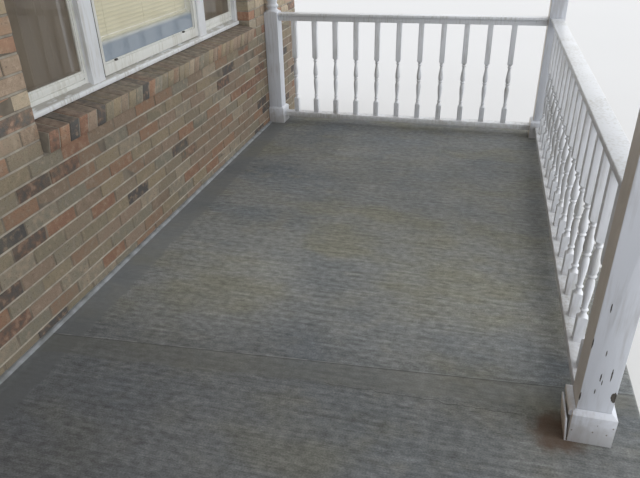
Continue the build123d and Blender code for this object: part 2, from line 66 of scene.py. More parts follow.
camera_data = bpy.data.cameras.new("porch_camera")
camera_data.sensor_fit = "HORIZONTAL"
camera_data.sensor_width = 36
camera_data.lens = LENS
camera_data.clip_start = 0.05
camera = bpy.data.objects.new("porch_camera", camera_data)
bpy.context.scene.collection.objects.link(camera)
turn = Matrix((TO_THE_RIGHT, UPWARDS, -LOOKS_ALONG)).transposed()
camera.matrix_world = Matrix.Translation(CAMERA_PLACE) @ turn.to_4x4()
bpy.context.scene.camera = camera
bpy.context.scene.view_settings.view_transform = "Standard"
print("camera at", [round(value, 3) for value in CAMERA_PLACE])

# %% [markdown]
# Under a porch roof the light comes in low, from the yard and from the open ends. Three very
# soft suns and a pale sky do that job together. The sky itself shows white to the camera and
# in the glass, through the Light Path node, and adds no extra light.

# %% Light and sky
SKY_LEVEL = 0.60
SUNS = {
    "yard_light": (0.60, 28, 12),
    "near_end_light": (0.09, 30, 100),
    "far_end_light": (0.20, 30, -80),
}
SUN_SOFTNESS = 55

for name, (level, height, bearing) in SUNS.items():
    lamp = bpy.data.lights.new(name, "SUN")
    lamp.energy = level * pi
    lamp.angle = radians(SUN_SOFTNESS)
    sun = bpy.data.objects.new(name, lamp)
    bpy.context.scene.collection.objects.link(sun)
    towards = Vector((
        -sin(radians(bearing)) * cos(radians(height)),
        -cos(radians(bearing)) * cos(radians(height)),
        sin(radians(height)),
    ))
    sun.rotation_euler = towards.to_track_quat("Z", "Y").to_euler()

world = bpy.data.worlds.new("pale_sky")
bpy.context.scene.world = world
world.use_nodes = True
sky = world.node_tree
sky.nodes.clear()
lit = sky.nodes.new("ShaderNodeBackground")
lit.inputs["Color"].default_value = (0.95, 0.97, 1.0, 1)
lit.inputs["Strength"].default_value = SKY_LEVEL
seen = sky.nodes.new("ShaderNodeBackground")
seen.inputs["Color"].default_value = (1, 1, 1, 1)
path = sky.nodes.new("ShaderNodeLightPath")
direct = sky.nodes.new("ShaderNodeMath")
direct.operation = "MAXIMUM"
sky.links.new(path.outputs["Is Camera Ray"], direct.inputs[0])
sky.links.new(path.outputs["Is Glossy Ray"], direct.inputs[1])
through = sky.nodes.new("ShaderNodeMath")
through.operation = "MAXIMUM"
sky.links.new(direct.outputs[0], through.inputs[0])
sky.links.new(path.outputs["Is Transmission Ray"], through.inputs[1])
either = sky.nodes.new("ShaderNodeMixShader")
sky.links.new(through.outputs[0], either.inputs["Fac"])
sky.links.new(lit.outputs[0], either.inputs[1])
sky.links.new(seen.outputs[0], either.inputs[2])
world_out = sky.nodes.new("ShaderNodeOutputWorld")
sky.links.new(either.outputs[0], world_out.inputs["Surface"])
print("sky and", len(SUNS), "soft suns")

# %% [markdown]
# Every finish is made of nodes on Object coordinates, which here are real metres, so a grain
# of 4 mm is written as 0.004. A small class keeps the node calls short: each method adds one
# kind of node and hands back its output. Colours are written as they look on a screen, 0 to
# 255, and turned into the linear values that the shader wants.

# %% Finish helper
def screen(red, green, blue):
    """A screen colour, 0 to 255, as the linear colour that a shader takes."""
    return tuple((value / 255 / 12.92) if value < 11 else ((value / 255 + 0.055) / 1.055) ** 2.4
                 for value in (red, green, blue))


class Finish:
    """One finish: a Principled shader, and short calls for the nodes that feed it."""

    def __init__(self, name, roughness, **sockets):
        self.material = bpy.data.materials.new(name)
        self.material.use_nodes = True
        self.tree = self.material.node_tree
        self.shader = self.tree.nodes["Principled BSDF"]
        self.give("Roughness", roughness)
        for socket, value in sockets.items():
            self.give(socket.replace("_", " "), value)
        self.place = self.tree.nodes.new("ShaderNodeTexCoord").outputs["Object"]
        split = self.node("ShaderNodeSeparateXYZ", {0: self.place})
        self.x, self.y, self.z = split.outputs

    def node(self, kind, inputs, **settings):
        made = self.tree.nodes.new(kind)
        for setting, value in settings.items():
            setattr(made, setting, value)
        for key, value in inputs.items():
            self.feed(made.inputs[key], value)
        return made

    def feed(self, socket, value):
        if isinstance(value, bpy.types.NodeSocket):
            self.tree.links.new(value, socket)
        elif socket.type == "RGBA" and len(value) == 3:
            socket.default_value = (*value, 1)
        else:
            socket.default_value = value

    def give(self, socket, value):
        self.feed(self.shader.inputs[socket], value)

    def maths(self, operation, first, second=0.0, third=0.0):
        return self.node("ShaderNodeMath", {0: first, 1: second, 2: third}, operation=operation).outputs[0]

    def between(self, value, low, high):
        """0 below low, 1 above high and a smooth step from one to the other."""
        return self.node("ShaderNodeMapRange", {"Value": value, "From Min": low, "From Max": high},
                         interpolation_type="SMOOTHSTEP").outputs["Result"]

    def mix(self, share, first, second, blend="MIX"):
        return self.node("ShaderNodeMix", {0: share, 6: first, 7: second},
                         data_type="RGBA", blend_type=blend).outputs[2]

    def tint(self, colour, where, strength, shade, blend="MIX"):
        """Lay a shade over a colour where a mask is 1, and no stronger than the strength."""
        return self.mix(self.maths("MULTIPLY", where, strength), colour, shade, blend)

    def vector(self, operation, first, second=(0, 0, 0)):
        return self.node("ShaderNodeVectorMath", {0: first, 1: second}, operation=operation).outputs

    def noise(self, size, stretch=(1, 1, 1), detail=3.0):
        """Cloudy noise with spots about size across, longer along an axis by its stretch."""
        scaled = self.vector("MULTIPLY", self.place, [1 / (size * longer) for longer in stretch])[0]
        return self.node("ShaderNodeTexNoise", {"Vector": scaled, "Scale": 1.0, "Detail": detail}).outputs[0]

    def ramp(self, value, stops):
        """Colours set out along a value, in linear colour."""
        made = self.node("ShaderNodeValToRGB", {0: value})
        scale = made.color_ramp
        while len(scale.elements) < len(stops):
            scale.elements.new(0.5)
        for element, (position, colour) in zip(scale.elements, stops):
            element.position = position
            element.color = (*colour, 1)
        return made.outputs[0]

    def shade(self, value, dark, light, low=0.3, high=0.7):
        """Drift from a dark to a light screen colour as a pattern goes from low to high."""
        return self.ramp(value, [(low, screen(*dark)), (high, screen(*light))])

    def attribute(self, name):
        return self.node("ShaderNodeAttribute", {}, attribute_name=name).outputs["Fac"]

    def near(self, spot, radius):
        """1 at a spot, falling to 0 at the radius."""
        return self.between(self.vector("DISTANCE", self.place, spot)["Value"], radius, 0.0)

    def spot(self, middle, half_sizes):
        """1 in the middle of an oval spot, falling to 0 at its edge."""
        away = self.vector("SUBTRACT", self.place, middle)[0]
        scaled = self.vector("MULTIPLY", away, [1 / size for size in half_sizes])[0]
        return self.between(self.vector("LENGTH", scaled)["Value"], 1.0, 0.0)

    def bump(self, height, distance, strength=1.0, normal=None):
        inputs = {"Height": height, "Distance": distance, "Strength": strength}
        if normal:
            inputs["Normal"] = normal
        raised = self.node("ShaderNodeBump", inputs).outputs["Normal"]
        self.give("Normal", raised)
        return raised


def two_shades(name, roughness, grain, dark, light, levels=(0.3, 0.7), relief=None, **sockets):
    """A simple finish. Grain is (size, stretch, detail) and relief (depth, strength)."""
    finish = Finish(name, roughness, **sockets)
    pattern = finish.noise(*grain)
    finish.give("Base Color", finish.shade(pattern, dark, light, *levels))
    if relief:
        finish.bump(pattern, *relief)
    return finish


print("a mid grey of 128 is written as", [round(value, 3) for value in screen(128, 128, 128)])

# %% [markdown]
# The pieces are modelled with the tools of the Add and Edit menus, called from here. Each
# helper does one thing a hand would do: pick a piece, add a block between two corners, ease
# its sharp edges with a bevel, join pieces, and settle the finished piece on the porch.

# %% Modelling helpers
TOUCHING = 0.00001


def pick(piece):
    """Select one piece alone and make it the active one."""
    bpy.ops.object.select_all(action="DESELECT")
    piece.select_set(True)
    bpy.context.view_layer.objects.active = piece


def add_block(name, low, high):
    """A block between two opposite corners, with its place in its mesh."""
    low, high = Vector(low), Vector(high)
    bpy.ops.object.select_all(action="DESELECT")
    bpy.ops.mesh.primitive_cube_add(size=1, location=(low + high) / 2)
    block = bpy.context.object
    block.name = name
    block.scale = high - low
    bpy.ops.object.transform_apply(location=True, rotation=True, scale=True)
    return block


def apply(piece, modifier):
    pick(piece)
    bpy.ops.object.modifier_apply(modifier=modifier.name)


def soften(piece, angle=35):
    """Smooth shading wherever two faces meet at less than the angle."""
    pick(piece)
    bpy.ops.object.shade_smooth_by_angle(angle=radians(angle))


def ease(piece, width, segments=2):
    """Round off the sharp edges of a piece by a small width."""
    bevel = piece.modifiers.new("eased_edges", "BEVEL")
    bevel.width = width
    bevel.segments = segments
    bevel.limit_method = "ANGLE"
    bevel.angle_limit = radians(28)
    apply(piece, bevel)
    soften(piece)
    return piece


def split(piece, place, normal, **settings):
    """Cut a piece through along a plane, and clear one side of it where the settings ask."""
    pick(piece)
    bpy.ops.object.mode_set(mode="EDIT")
    bpy.ops.mesh.select_all(action="SELECT")
    bpy.ops.mesh.bisect(plane_co=place, plane_no=normal, **settings)
    bpy.ops.object.mode_set(mode="OBJECT")


def cut_out(piece, low, high):
    """Take a block between two opposite corners out of a piece."""
    waste = add_block("waste", low, high)
    cut = piece.modifiers.new("cut_out", "BOOLEAN")
    cut.operation = "DIFFERENCE"
    cut.solver = "EXACT"
    cut.object = waste
    apply(piece, cut)
    bpy.data.objects.remove(waste)


def join(name, pieces):
    pick(pieces[0])
    for piece in pieces:
        piece.select_set(True)
    bpy.ops.object.join()
    pieces[0].name = name
    return pieces[0]


def select_where(piece, test):
    """Enter edit mode with just the vertices selected that pass a test of their place."""
    pick(piece)
    bpy.ops.object.mode_set(mode="EDIT")
    bpy.ops.mesh.select_mode(type="VERT")
    bpy.ops.mesh.select_all(action="DESELECT")
    bpy.ops.object.mode_set(mode="OBJECT")
    for vertex in piece.data.vertices:
        vertex.select = bool(test(vertex.co))
    bpy.ops.object.mode_set(mode="EDIT")


def slide(piece, test, value):
    """Move the vertices that pass a test."""
    select_where(piece, test)
    bpy.ops.transform.translate(value=value)
    bpy.ops.object.mode_set(mode="OBJECT")


def settle(piece, finish, slot, *nodes):
    """Give a finished piece its finish and hide the frame's pieces that it stands for; the slot is not used.
    """
    piece.data.name = piece.name
    piece.data.materials.clear()
    piece.data.materials.append(finish.material)
    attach(piece, "root")
    if nodes:
        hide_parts(*nodes)
    print(piece.name, "has", len(piece.data.polygons), "faces")
    return piece


def coat(finish, *nodes):
    """Give a finish to pieces of the frame that show as they are."""
    for node in nodes:
        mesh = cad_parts[node].data
        mesh.materials.clear()
        mesh.materials.append(finish.material)
    print(finish.material.name, "on", ", ".join(nodes))


def worked_copy(node, name):
    """A new piece with the shape of a node, its triangles merged back into flat faces."""
    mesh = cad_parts[node].data.copy()
    piece = bpy.data.objects.new(name, mesh)
    bpy.context.scene.collection.objects.link(piece)
    pick(piece)
    if mesh.has_custom_normals:
        bpy.ops.mesh.customdata_custom_splitnormals_clear()
    bpy.ops.object.mode_set(mode="EDIT")
    bpy.ops.mesh.select_all(action="SELECT")
    bpy.ops.mesh.remove_doubles(threshold=TOUCHING)
    bpy.ops.mesh.dissolve_limited(angle_limit=radians(0.5))
    bpy.ops.object.mode_set(mode="OBJECT")
    return piece


# %% [markdown]
# Many things on a porch are one small shape repeated: bricks, balusters, shingles, slats.
# The shape is modelled once and then laid at every place in one mesh. A copy can be longer or
# shorter than the pattern without its eased edges changing, and each carries a number called
# tone, which the finish reads to give every brick or shingle its own colour.

# %% Laying copies
def lay_copies(name, pattern, places, tilt=0.0, wobble=0.0):
    """Join a copy of the pattern for each (centre, extra size, tone), and remove the pattern."""
    shape = np.array([vertex.co[:] for vertex in pattern.data.vertices])
    faces = [list(face.vertices) for face in pattern.data.polygons]
    side = np.sign(np.round(shape, 6))
    lean = np.array(Matrix.Rotation(tilt, 3, "X"))
    chance = np.random.default_rng(len(places))
    vertices, all_faces, tones = [], [], []
    for index, (centre, extra, tone) in enumerate(places):
        grown = (shape + side * np.array(extra) / 2) @ lean.T + np.array(centre)
        vertices.append(grown + chance.uniform(-wobble, wobble, shape.shape))
        start = index * len(shape)
        all_faces.extend([corner + start for corner in face] for face in faces)
        tones.append(np.full(len(shape), tone))
    mesh = bpy.data.meshes.new(name)
    mesh.from_pydata(np.concatenate(vertices).tolist(), [], all_faces)
    mesh.attributes.new("tone", "FLOAT", "POINT").data.foreach_set("value", np.concatenate(tones))
    laid = bpy.data.objects.new(name, mesh)
    bpy.context.scene.collection.objects.link(laid)
    bpy.data.objects.remove(pattern)
    soften(laid)
    return laid


# %% [markdown]
# The places of the main pieces are read from the frame, so that the dressing follows the solids.

# %% Places read from the frame
wall_low, wall_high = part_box("brick_wall")
slab_low, slab_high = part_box("porch_slab")
window_low, window_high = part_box("window_frame")
door_low, door_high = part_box("door_frame")
sill_low, sill_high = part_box("rowlock_sill")
brick_y = wall_low.y
slab_top = slab_high.z
front_post_low, front_post_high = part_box("entry_post")
print("brick face at", round(brick_y, 4), "and slab top at", round(slab_top, 3))

# %% [markdown]
# The floor is poured concrete, struck off and drawn over with a stiff broom from the house
# towards the yard. The broom leaves fine lines along Y, and the sand in the surface gives a
# grain that shows more than the lines do. The colour drifts from blue grey to olive. The
# floor is painted darker by the door, a painted shade for the deepest part under the roof,
# and a band across its middle is painted lighter, a painted pool of light. The edging tool
# left a smooth border along the wall and a smooth olive band at the joint by the entry post,
# with a pale line where the two pours meet. A hairline crack runs on from the joint, mortar
# slurry has left a pale strip at the foot of the wall, and rust-brown water has stained the
# foot of the entry post.

# %% Broomed concrete
BORDER = 0.16
SLURRY = 0.052
JOINT_AT_WALL = -0.412
JOINT_SKEW = 0.072
SMOOTH_BAND = 0.115
CRACK_X = -0.447
CRACK_ENDS = (-0.80, -0.02)
STAIN = (-0.50, -0.885, 0.18)

concrete = Finish("broomed_concrete", 0.86)
cloud = concrete.noise(0.55, detail=5)
hue = concrete.noise(0.31, stretch=(1, 1.7, 1), detail=4)
blotch = concrete.noise(0.10, stretch=(1, 1.5, 1), detail=5)
mottle = concrete.noise(0.020, stretch=(1, 1.8, 1), detail=4)
stroke = concrete.noise(0.0065, stretch=(1, 48, 1), detail=3)
ridge = concrete.noise(0.0030, stretch=(1, 22, 1), detail=2)
grain = concrete.noise(0.0045, stretch=(1, 1.5, 1), detail=3)
sweep = concrete.noise(0.020, stretch=(1, 8, 1), detail=4)
turned_place = concrete.node("ShaderNodeCombineXYZ", {0: concrete.y, 1: concrete.x}).outputs[0]
patches = concrete.node(
    "ShaderNodeTexBrick",
    {"Vector": turned_place, "Color1": (0, 0, 0, 1), "Color2": (1, 1, 1, 1), "Mortar": (0.5, 0.5, 0.5, 1),
     "Scale": 1.0, "Mortar Size": 0.0, "Brick Width": 0.93, "Row Height": 0.47}).outputs["Color"]
joint_x = concrete.maths("MULTIPLY_ADD", concrete.maths("SUBTRACT", brick_y - 0.13, concrete.y),
                         JOINT_SKEW, JOINT_AT_WALL)
from_joint = concrete.maths("SUBTRACT", concrete.x, joint_x)
unevenly = concrete.between(concrete.noise(0.05, detail=4), 0.35, 0.6)
joint_line = concrete.between(concrete.maths("ABSOLUTE", from_joint), 0.0030, 0.0008)
beside_joint = concrete.maths("ABSOLUTE", concrete.maths("SUBTRACT", from_joint, 0.005))
pale_line = concrete.maths("MULTIPLY", concrete.between(beside_joint, 0.0055, 0.001), unevenly)
ragged_edge = concrete.maths("MULTIPLY_ADD", blotch, 0.05, -0.025)
in_band = concrete.maths("ADD", from_joint, ragged_edge)
band = concrete.maths("MULTIPLY", concrete.between(in_band, -SMOOTH_BAND - 0.012, -SMOOTH_BAND + 0.012),
                      concrete.between(from_joint, 0.003, -0.003))
wall_side = concrete.maths("ADD", concrete.y, ragged_edge)
border = concrete.between(wall_side, brick_y - BORDER - 0.010, brick_y - BORDER + 0.010)
wet_edge = concrete.between(wall_side, brick_y - SLURRY - 0.008, brick_y - SLURRY + 0.008)
slurry = concrete.maths("MULTIPLY", wet_edge, unevenly)
smooth = concrete.maths("MAXIMUM", border, concrete.maths("MULTIPLY", band, 0.4))
rough = concrete.maths("SUBTRACT", 1.0, concrete.maths("MULTIPLY", smooth, 0.6))
wavy = concrete.noise(0.07, stretch=(99, 1, 99), detail=4)
wander = concrete.maths("MULTIPLY_ADD", wavy, 0.05, CRACK_X - 0.025)
from_crack = concrete.maths("ABSOLUTE", concrete.maths("SUBTRACT", concrete.x, wander))
crack = concrete.between(from_crack, 0.0022, 0.0007)
for end, inward in zip(CRACK_ENDS, (0.06, -0.06)):
    crack = concrete.maths("MULTIPLY", crack, concrete.between(concrete.y, end, end + inward))
on_top = concrete.between(concrete.z, slab_top - 0.012, slab_top - 0.004)
painted_shade_by_door = concrete.maths("MULTIPLY", concrete.between(concrete.x, 0.6, -1.3),
                             concrete.between(concrete.y, -1.0, 0.7))
colour = concrete.ramp(cloud, [(0.30, screen(104, 108, 110)), (0.50, screen(117, 119, 118)),
                               (0.72, screen(128, 129, 125))])
colour = concrete.tint(colour, concrete.between(hue, 0.48, 0.70), 0.6, screen(120, 118, 100))
colour = concrete.tint(colour, concrete.between(hue, 0.46, 0.28), 0.4, screen(100, 108, 116))
colour = concrete.tint(colour, concrete.between(blotch, 0.52, 0.74), 0.4, screen(128, 126, 116))
# Painted shade: the floor by the door is darkened, for the deepest shade under the roof.
colour = concrete.tint(colour, painted_shade_by_door, 0.72, screen(82, 86, 92))
colour = concrete.mix(0.10, colour, patches, "SOFT_LIGHT")
for noise, share in ((mottle, 0.42), (sweep, 0.26), (stroke, 0.22), (ridge, 0.18), (grain, 0.42)):
    contrast = concrete.ramp(noise, [(0.32, (0.16,) * 3), (0.70, (0.84,) * 3)])
    colour = concrete.tint(colour, rough, share, contrast, "SOFT_LIGHT")
colour = concrete.tint(colour, border, 0.45, screen(92, 95, 97))
colour = concrete.tint(colour, band, 0.22, screen(100, 98, 84))
# Painted light: a band across the middle of the floor is made lighter, a painted pool of light.
midway = concrete.maths("MULTIPLY", concrete.between(concrete.x, -0.55, 0.0),
                        concrete.between(concrete.x, 1.2, 0.3))
painted_light_lift = concrete.maths("MULTIPLY_ADD", midway, 0.45, 1.0)
colour = concrete.node("ShaderNodeHueSaturation", {"Value": painted_light_lift, "Color": colour}).outputs[0]
colour = concrete.tint(colour, slurry, 0.40, screen(116, 121, 124))
colour = concrete.tint(colour, pale_line, 0.55, screen(146, 148, 146))
lines = concrete.maths("MAXIMUM", joint_line, crack)
colour = concrete.tint(colour, lines, 0.50, screen(62, 62, 58))
ragged = concrete.maths("ADD", concrete.near((STAIN[0], STAIN[1], slab_top), STAIN[2]),
                        concrete.maths("MULTIPLY_ADD", concrete.noise(0.04, detail=4), 0.7, -0.45))
colour = concrete.tint(colour, concrete.between(ragged, 0.15, 0.75), 0.8, screen(84, 62, 44))
colour = concrete.mix(on_top, screen(122, 120, 112), colour)
concrete.give("Base Color", colour)
pores = concrete.bump(grain, 0.0010, 0.45)
grooves = concrete.bump(concrete.maths("MULTIPLY", ridge, rough), 0.0014, 0.45, pores)
concrete.bump(concrete.maths("MULTIPLY", lines, -1.0), 0.003, 0.9, grooves)
coat(concrete, "porch_slab", "foundation_wall")

# %% [markdown]
# The wall is a brick skin laid in running bond, three courses to about 203 mm. Bump alone
# would look painted on at this distance, so every brick is a real block with eased edges, set
# in a bed of mortar that lies a little behind their faces. The bricks at the window, the door
# and the wall's ends are cut to length, and no cut piece is left as a thin sliver.

# %% Brick sizes and courses
COURSE = 0.06773
BED_JOINT = 0.010
STRUCK = 0.0015
JOINT = BED_JOINT - 2 * STRUCK
STRETCHER = 0.2032
BRICK_DEPTH = 0.090
BRICK_EASE = 0.003
SET_BACK = 0.0022
FIRST_BED = slab_top + 0.044
SHORTEST = 0.06
openings = [
    (window_low.x, window_high.x, sill_low.z, window_high.z),
    (door_low.x, door_high.x, slab_top, door_high.z),
]


def course_runs(foot, head):
    """The stretches of wall that one course fills, between the ends and the openings."""
    runs = [(wall_low.x, wall_high.x)]
    for left, right, low, high in openings:
        if head > low + JOINT and foot < high - JOINT:
            parts = [part for start, end in runs
                     for part in ((start, min(end, left)), (max(start, right), end))]
            runs = [(start, end) for start, end in parts
                    if end - start > JOINT and not (start >= left and end <= right)]
    return sorted(set(runs))


def brick_ends(start, end, phase):
    """Where the upright joints fall in one stretch, with no sliver at either end."""
    first = np.ceil((start - phase) / STRETCHER)
    marks = list(np.arange(first, first + 60) * STRETCHER + phase)
    marks = [start] + [mark for mark in marks if start + 0.001 < mark < end - 0.001] + [end]
    if len(marks) > 2 and marks[1] - marks[0] < SHORTEST:
        marks[1] = (marks[0] + marks[2]) / 2
    if len(marks) > 2 and marks[-1] - marks[-2] < SHORTEST:
        marks[-2] = (marks[-1] + marks[-3]) / 2
    return list(zip(marks, marks[1:]))


print("a course is", round(COURSE * 1000, 1), "mm high, and the window's bricks start at",
      round(window_low.x, 3))

# %% Bricks
brick_chance = random.Random(7)
brick_places = []
lowest_course = int((wall_low.z - FIRST_BED) / COURSE) - 1
highest_course = int((wall_high.z - FIRST_BED) / COURSE) + 1
for number in range(lowest_course, highest_course + 1):
    foot = max(FIRST_BED + COURSE * number + JOINT / 2, wall_low.z)
    head = min(FIRST_BED + COURSE * (number + 1) - JOINT / 2, wall_high.z)
    if head - foot < JOINT:
        continue
    phase = window_low.x + (number % 2) * STRETCHER / 2
    for start, end in course_runs(foot, head):
        for left, right in brick_ends(start, end, phase):
            left += 0 if left == start else JOINT / 2
            right -= 0 if right == end else JOINT / 2
            back = brick_chance.uniform(0, SET_BACK)
            centre = ((left + right) / 2, brick_y + back + BRICK_DEPTH / 2, (foot + head) / 2)
            extra = (right - left - STRETCHER + JOINT, -back, head - foot - COURSE + JOINT)
            brick_places.append((centre, extra, brick_chance.random()))

pattern = add_block("brick_pattern", (-(STRETCHER - JOINT) / 2, -BRICK_DEPTH / 2, -(COURSE - JOINT) / 2),
                    ((STRETCHER - JOINT) / 2, BRICK_DEPTH / 2, (COURSE - JOINT) / 2))
ease(pattern, BRICK_EASE, 1)
wall_bricks = lay_copies("wall_bricks", pattern, brick_places, wobble=0.0007)
print(len(brick_places), "bricks laid")

# %% [markdown]
# The bricks are a mixed load, all of them muted: grey-olive, tan and pinkish ones, a few red
# brown, and now and then one burnt nearly black. The ramp gives each colour a share of the
# wall. Clay isn't even inside one brick, so a mottle of a few centimetres and a fine grain
# show more than the step from brick to brick. The bricks are made lighter from about the
# window's sill upwards, so the wall is darker towards the bottom, and the tops of the bricks on edge are
# weathered.

# %% Brick finish
BRICK_COLOURS = [
    (0.00, screen(76, 74, 72)), (0.04, screen(94, 82, 73)), (0.09, screen(124, 94, 78)),
    (0.17, screen(134, 106, 86)), (0.30, screen(121, 107, 92)), (0.44, screen(133, 116, 101)),
    (0.58, screen(117, 110, 94)), (0.74, screen(135, 122, 101)), (0.88, screen(116, 112, 100)),
    (1.00, screen(146, 133, 115)),
]
DARKER_BELOW, LIGHTER_ABOVE = 0.80, 1.15


def brick_finish(name, weathering):
    """Mixed clay, coloured brick by brick, with its upward faces worn as far as asked."""
    clay = Finish(name, 0.9)
    patch = clay.noise(0.030, detail=5)
    crumb = clay.noise(0.009, detail=3)
    grain = clay.noise(0.0025, detail=2)
    shifted = clay.maths("ADD", clay.attribute("tone"), clay.maths("MULTIPLY_ADD", patch, 0.24, -0.12))
    colour = clay.ramp(shifted, BRICK_COLOURS)
    colour = clay.tint(colour, clay.between(patch, 0.52, 0.74), 0.55, screen(150, 134, 118))
    colour = clay.tint(colour, clay.between(crumb, 0.58, 0.72), 0.55, screen(74, 64, 56))
    slow = clay.noise(0.3, detail=3)
    colour = clay.tint(colour, clay.between(slow, 0.50, 0.80), 0.5, screen(122, 116, 100))
    contrast = clay.ramp(grain, [(0.35, (0.2,) * 3), (0.68, (0.8,) * 3)])
    colour = clay.mix(0.35, colour, contrast, "SOFT_LIGHT")
    # The bricks are made lighter from about the window's sill upwards, darker towards the bottom.
    upper_wall_lift = clay.maths("MULTIPLY_ADD", clay.between(clay.z, DARKER_BELOW, LIGHTER_ABOVE), 0.88, 1.0)
    colour = clay.node("ShaderNodeHueSaturation", {"Value": upper_wall_lift, "Color": colour}).outputs[0]
    if weathering:
        facing = clay.node("ShaderNodeNewGeometry", {}).outputs["Normal"]
        upward = clay.node("ShaderNodeSeparateXYZ", {0: facing}).outputs[2]
        worn = clay.shade(patch, (98, 91, 84), (136, 124, 112), 0.35, 0.65)
        colour = clay.tint(colour, clay.between(upward, 0.45, 0.85), weathering, worn)
    clay.give("Base Color", colour)
    coarse = clay.bump(patch, 0.003, 0.5)
    middling = clay.bump(crumb, 0.0015, 0.6, coarse)
    clay.bump(grain, 0.0008, 0.5, middling)
    return clay


settle(wall_bricks, brick_finish("wall_brick", 0), "brick", "brick_wall")

# %% [markdown]
# The mortar is the wall's own solid, copied and drawn back a few millimetres behind the
# bricks' faces: at the front, at the ends and top, and inside the window and door openings.
# Its beds are painted as thin pale lines, a painted highlight where light catches the level
# joints, while the upright joints keep a colour nearly as dark as the bricks.

# %% Mortar
MORTAR_BACK = 0.0035
BED_EDGE = 0.0048


def mortar_finish(name, painted_highlight_beds):
    """Sandy mortar, pale all over, or pale only in the level beds as a painted highlight."""
    sand = Finish(name, 0.94)
    cloud = sand.noise(0.06, detail=5)
    dark = sand.shade(cloud, (100, 92, 82), (124, 115, 102), 0.35, 0.65)
    pale = sand.shade(cloud, (140, 133, 122), (172, 165, 152), 0.35, 0.65)
    share = 0.7
    # Painted highlight: only the level beds are pale, where light catches them.
    if painted_highlight_beds:
        courses = sand.maths("MULTIPLY_ADD", sand.z, 1 / COURSE, 0.5 - FIRST_BED / COURSE)
        from_bed = sand.maths("ABSOLUTE", sand.maths("SUBTRACT", sand.maths("FRACT", courses), 0.5))
        share = sand.between(from_bed, BED_EDGE / COURSE, 0.8 * BED_EDGE / COURSE)
    sand.give("Base Color", sand.mix(share, dark, pale))
    sand.bump(sand.noise(0.003, detail=2), 0.0015, 0.6)
    return sand


wall_mortar = worked_copy("brick_wall", "wall_mortar")
slide(wall_mortar, lambda place: abs(place.y - brick_y) < 0.001, (0, MORTAR_BACK, 0))
for edge, inward in ((wall_low.x, MORTAR_BACK), (wall_high.x, -MORTAR_BACK),
                     (window_low.x, -MORTAR_BACK), (window_high.x, MORTAR_BACK),
                     (door_low.x, -MORTAR_BACK), (door_high.x, MORTAR_BACK)):
    slide(wall_mortar, lambda place: abs(place.x - edge) < 0.001, (inward, 0, 0))
slide(wall_mortar, lambda place: abs(place.z - wall_high.z) < 0.001, (0, 0, -MORTAR_BACK))
settle(wall_mortar, mortar_finish("sand_mortar", True), "brick")

# %% [markdown]
# Under the window the bricks stand on edge, a rowlock, tilted on a wedge of mortar so that
# rain runs off, with their noses well proud of the wall. One length of the tilted course is
# shaped from a block, and serves as the brick and, drawn in a little, as the mortar between.
# The first bricks differ strongly in colour, so their tones are chosen one by one.

# %% Rowlock bricks
ROWLOCK_TONES = [0.08, 0.17, 0.0, 0.11, 0.44, 0.02, 0.58, 0.74, 0.5, 0.66, 0.88, 0.01, 0.16, 0.9, 0.6]
ROWLOCK_COUNT = 35
ROWLOCK_SLOPE = radians(9)
ROWLOCK_FACE = 0.088
ROWLOCK_BED = 0.017
ROWLOCK_EASE = 0.004
PROJECTION = 0.029
slope = tan(ROWLOCK_SLOPE)
nose_y = brick_y - PROJECTION
nose_z = sill_low.z + ROWLOCK_BED - PROJECTION * slope
rise = (sill_high.y - nose_y) * slope
lean = ROWLOCK_FACE * sin(ROWLOCK_SLOPE)
halfway_z = nose_z + ROWLOCK_FACE / 2
rowlock_back = nose_z + rise + ROWLOCK_FACE / cos(ROWLOCK_SLOPE)


def tilted_course(name, left, right):
    """A length of the course on edge, leaning out at its face and falling to its nose."""
    block = add_block(name, (left, nose_y, nose_z),
                      (right, sill_high.y, nose_z + ROWLOCK_FACE * cos(ROWLOCK_SLOPE)))
    slide(block, lambda place: place.y > brick_y and place.z > halfway_z, (0, 0, rise + lean * slope))
    slide(block, lambda place: place.y > brick_y and place.z < halfway_z, (0, 0, rise))
    slide(block, lambda place: place.y < brick_y and place.z > halfway_z, (0, -lean, 0))
    return block


rowlock_pitch = (sill_high.x - sill_low.x - BED_JOINT) / ROWLOCK_COUNT
rowlock_width = rowlock_pitch - JOINT
rowlock_chance = random.Random(3)
pattern = ease(tilted_course("rowlock_pattern", -rowlock_width / 2, rowlock_width / 2), ROWLOCK_EASE)
rowlock_places = []
for number in range(ROWLOCK_COUNT):
    along = sill_low.x + BED_JOINT / 2 + rowlock_pitch * (number + 0.5)
    place = (along + rowlock_chance.uniform(-0.001, 0.001),
             rowlock_chance.uniform(0, 0.004), rowlock_chance.uniform(-0.0025, 0))
    tone = ROWLOCK_TONES[number] if number < len(ROWLOCK_TONES) else rowlock_chance.uniform(0.2, 1)
    rowlock_places.append((place, (rowlock_chance.uniform(-0.002, 0.002), 0, 0), tone))
rowlock_bricks = lay_copies("rowlock_bricks", pattern, rowlock_places, wobble=0.0009)
settle(rowlock_bricks, brick_finish("sill_brick", 0.75), "brick", "rowlock_sill")
print("the tilted course ends", round(rowlock_back * 1000, 1), "mm up, under the window's sill")

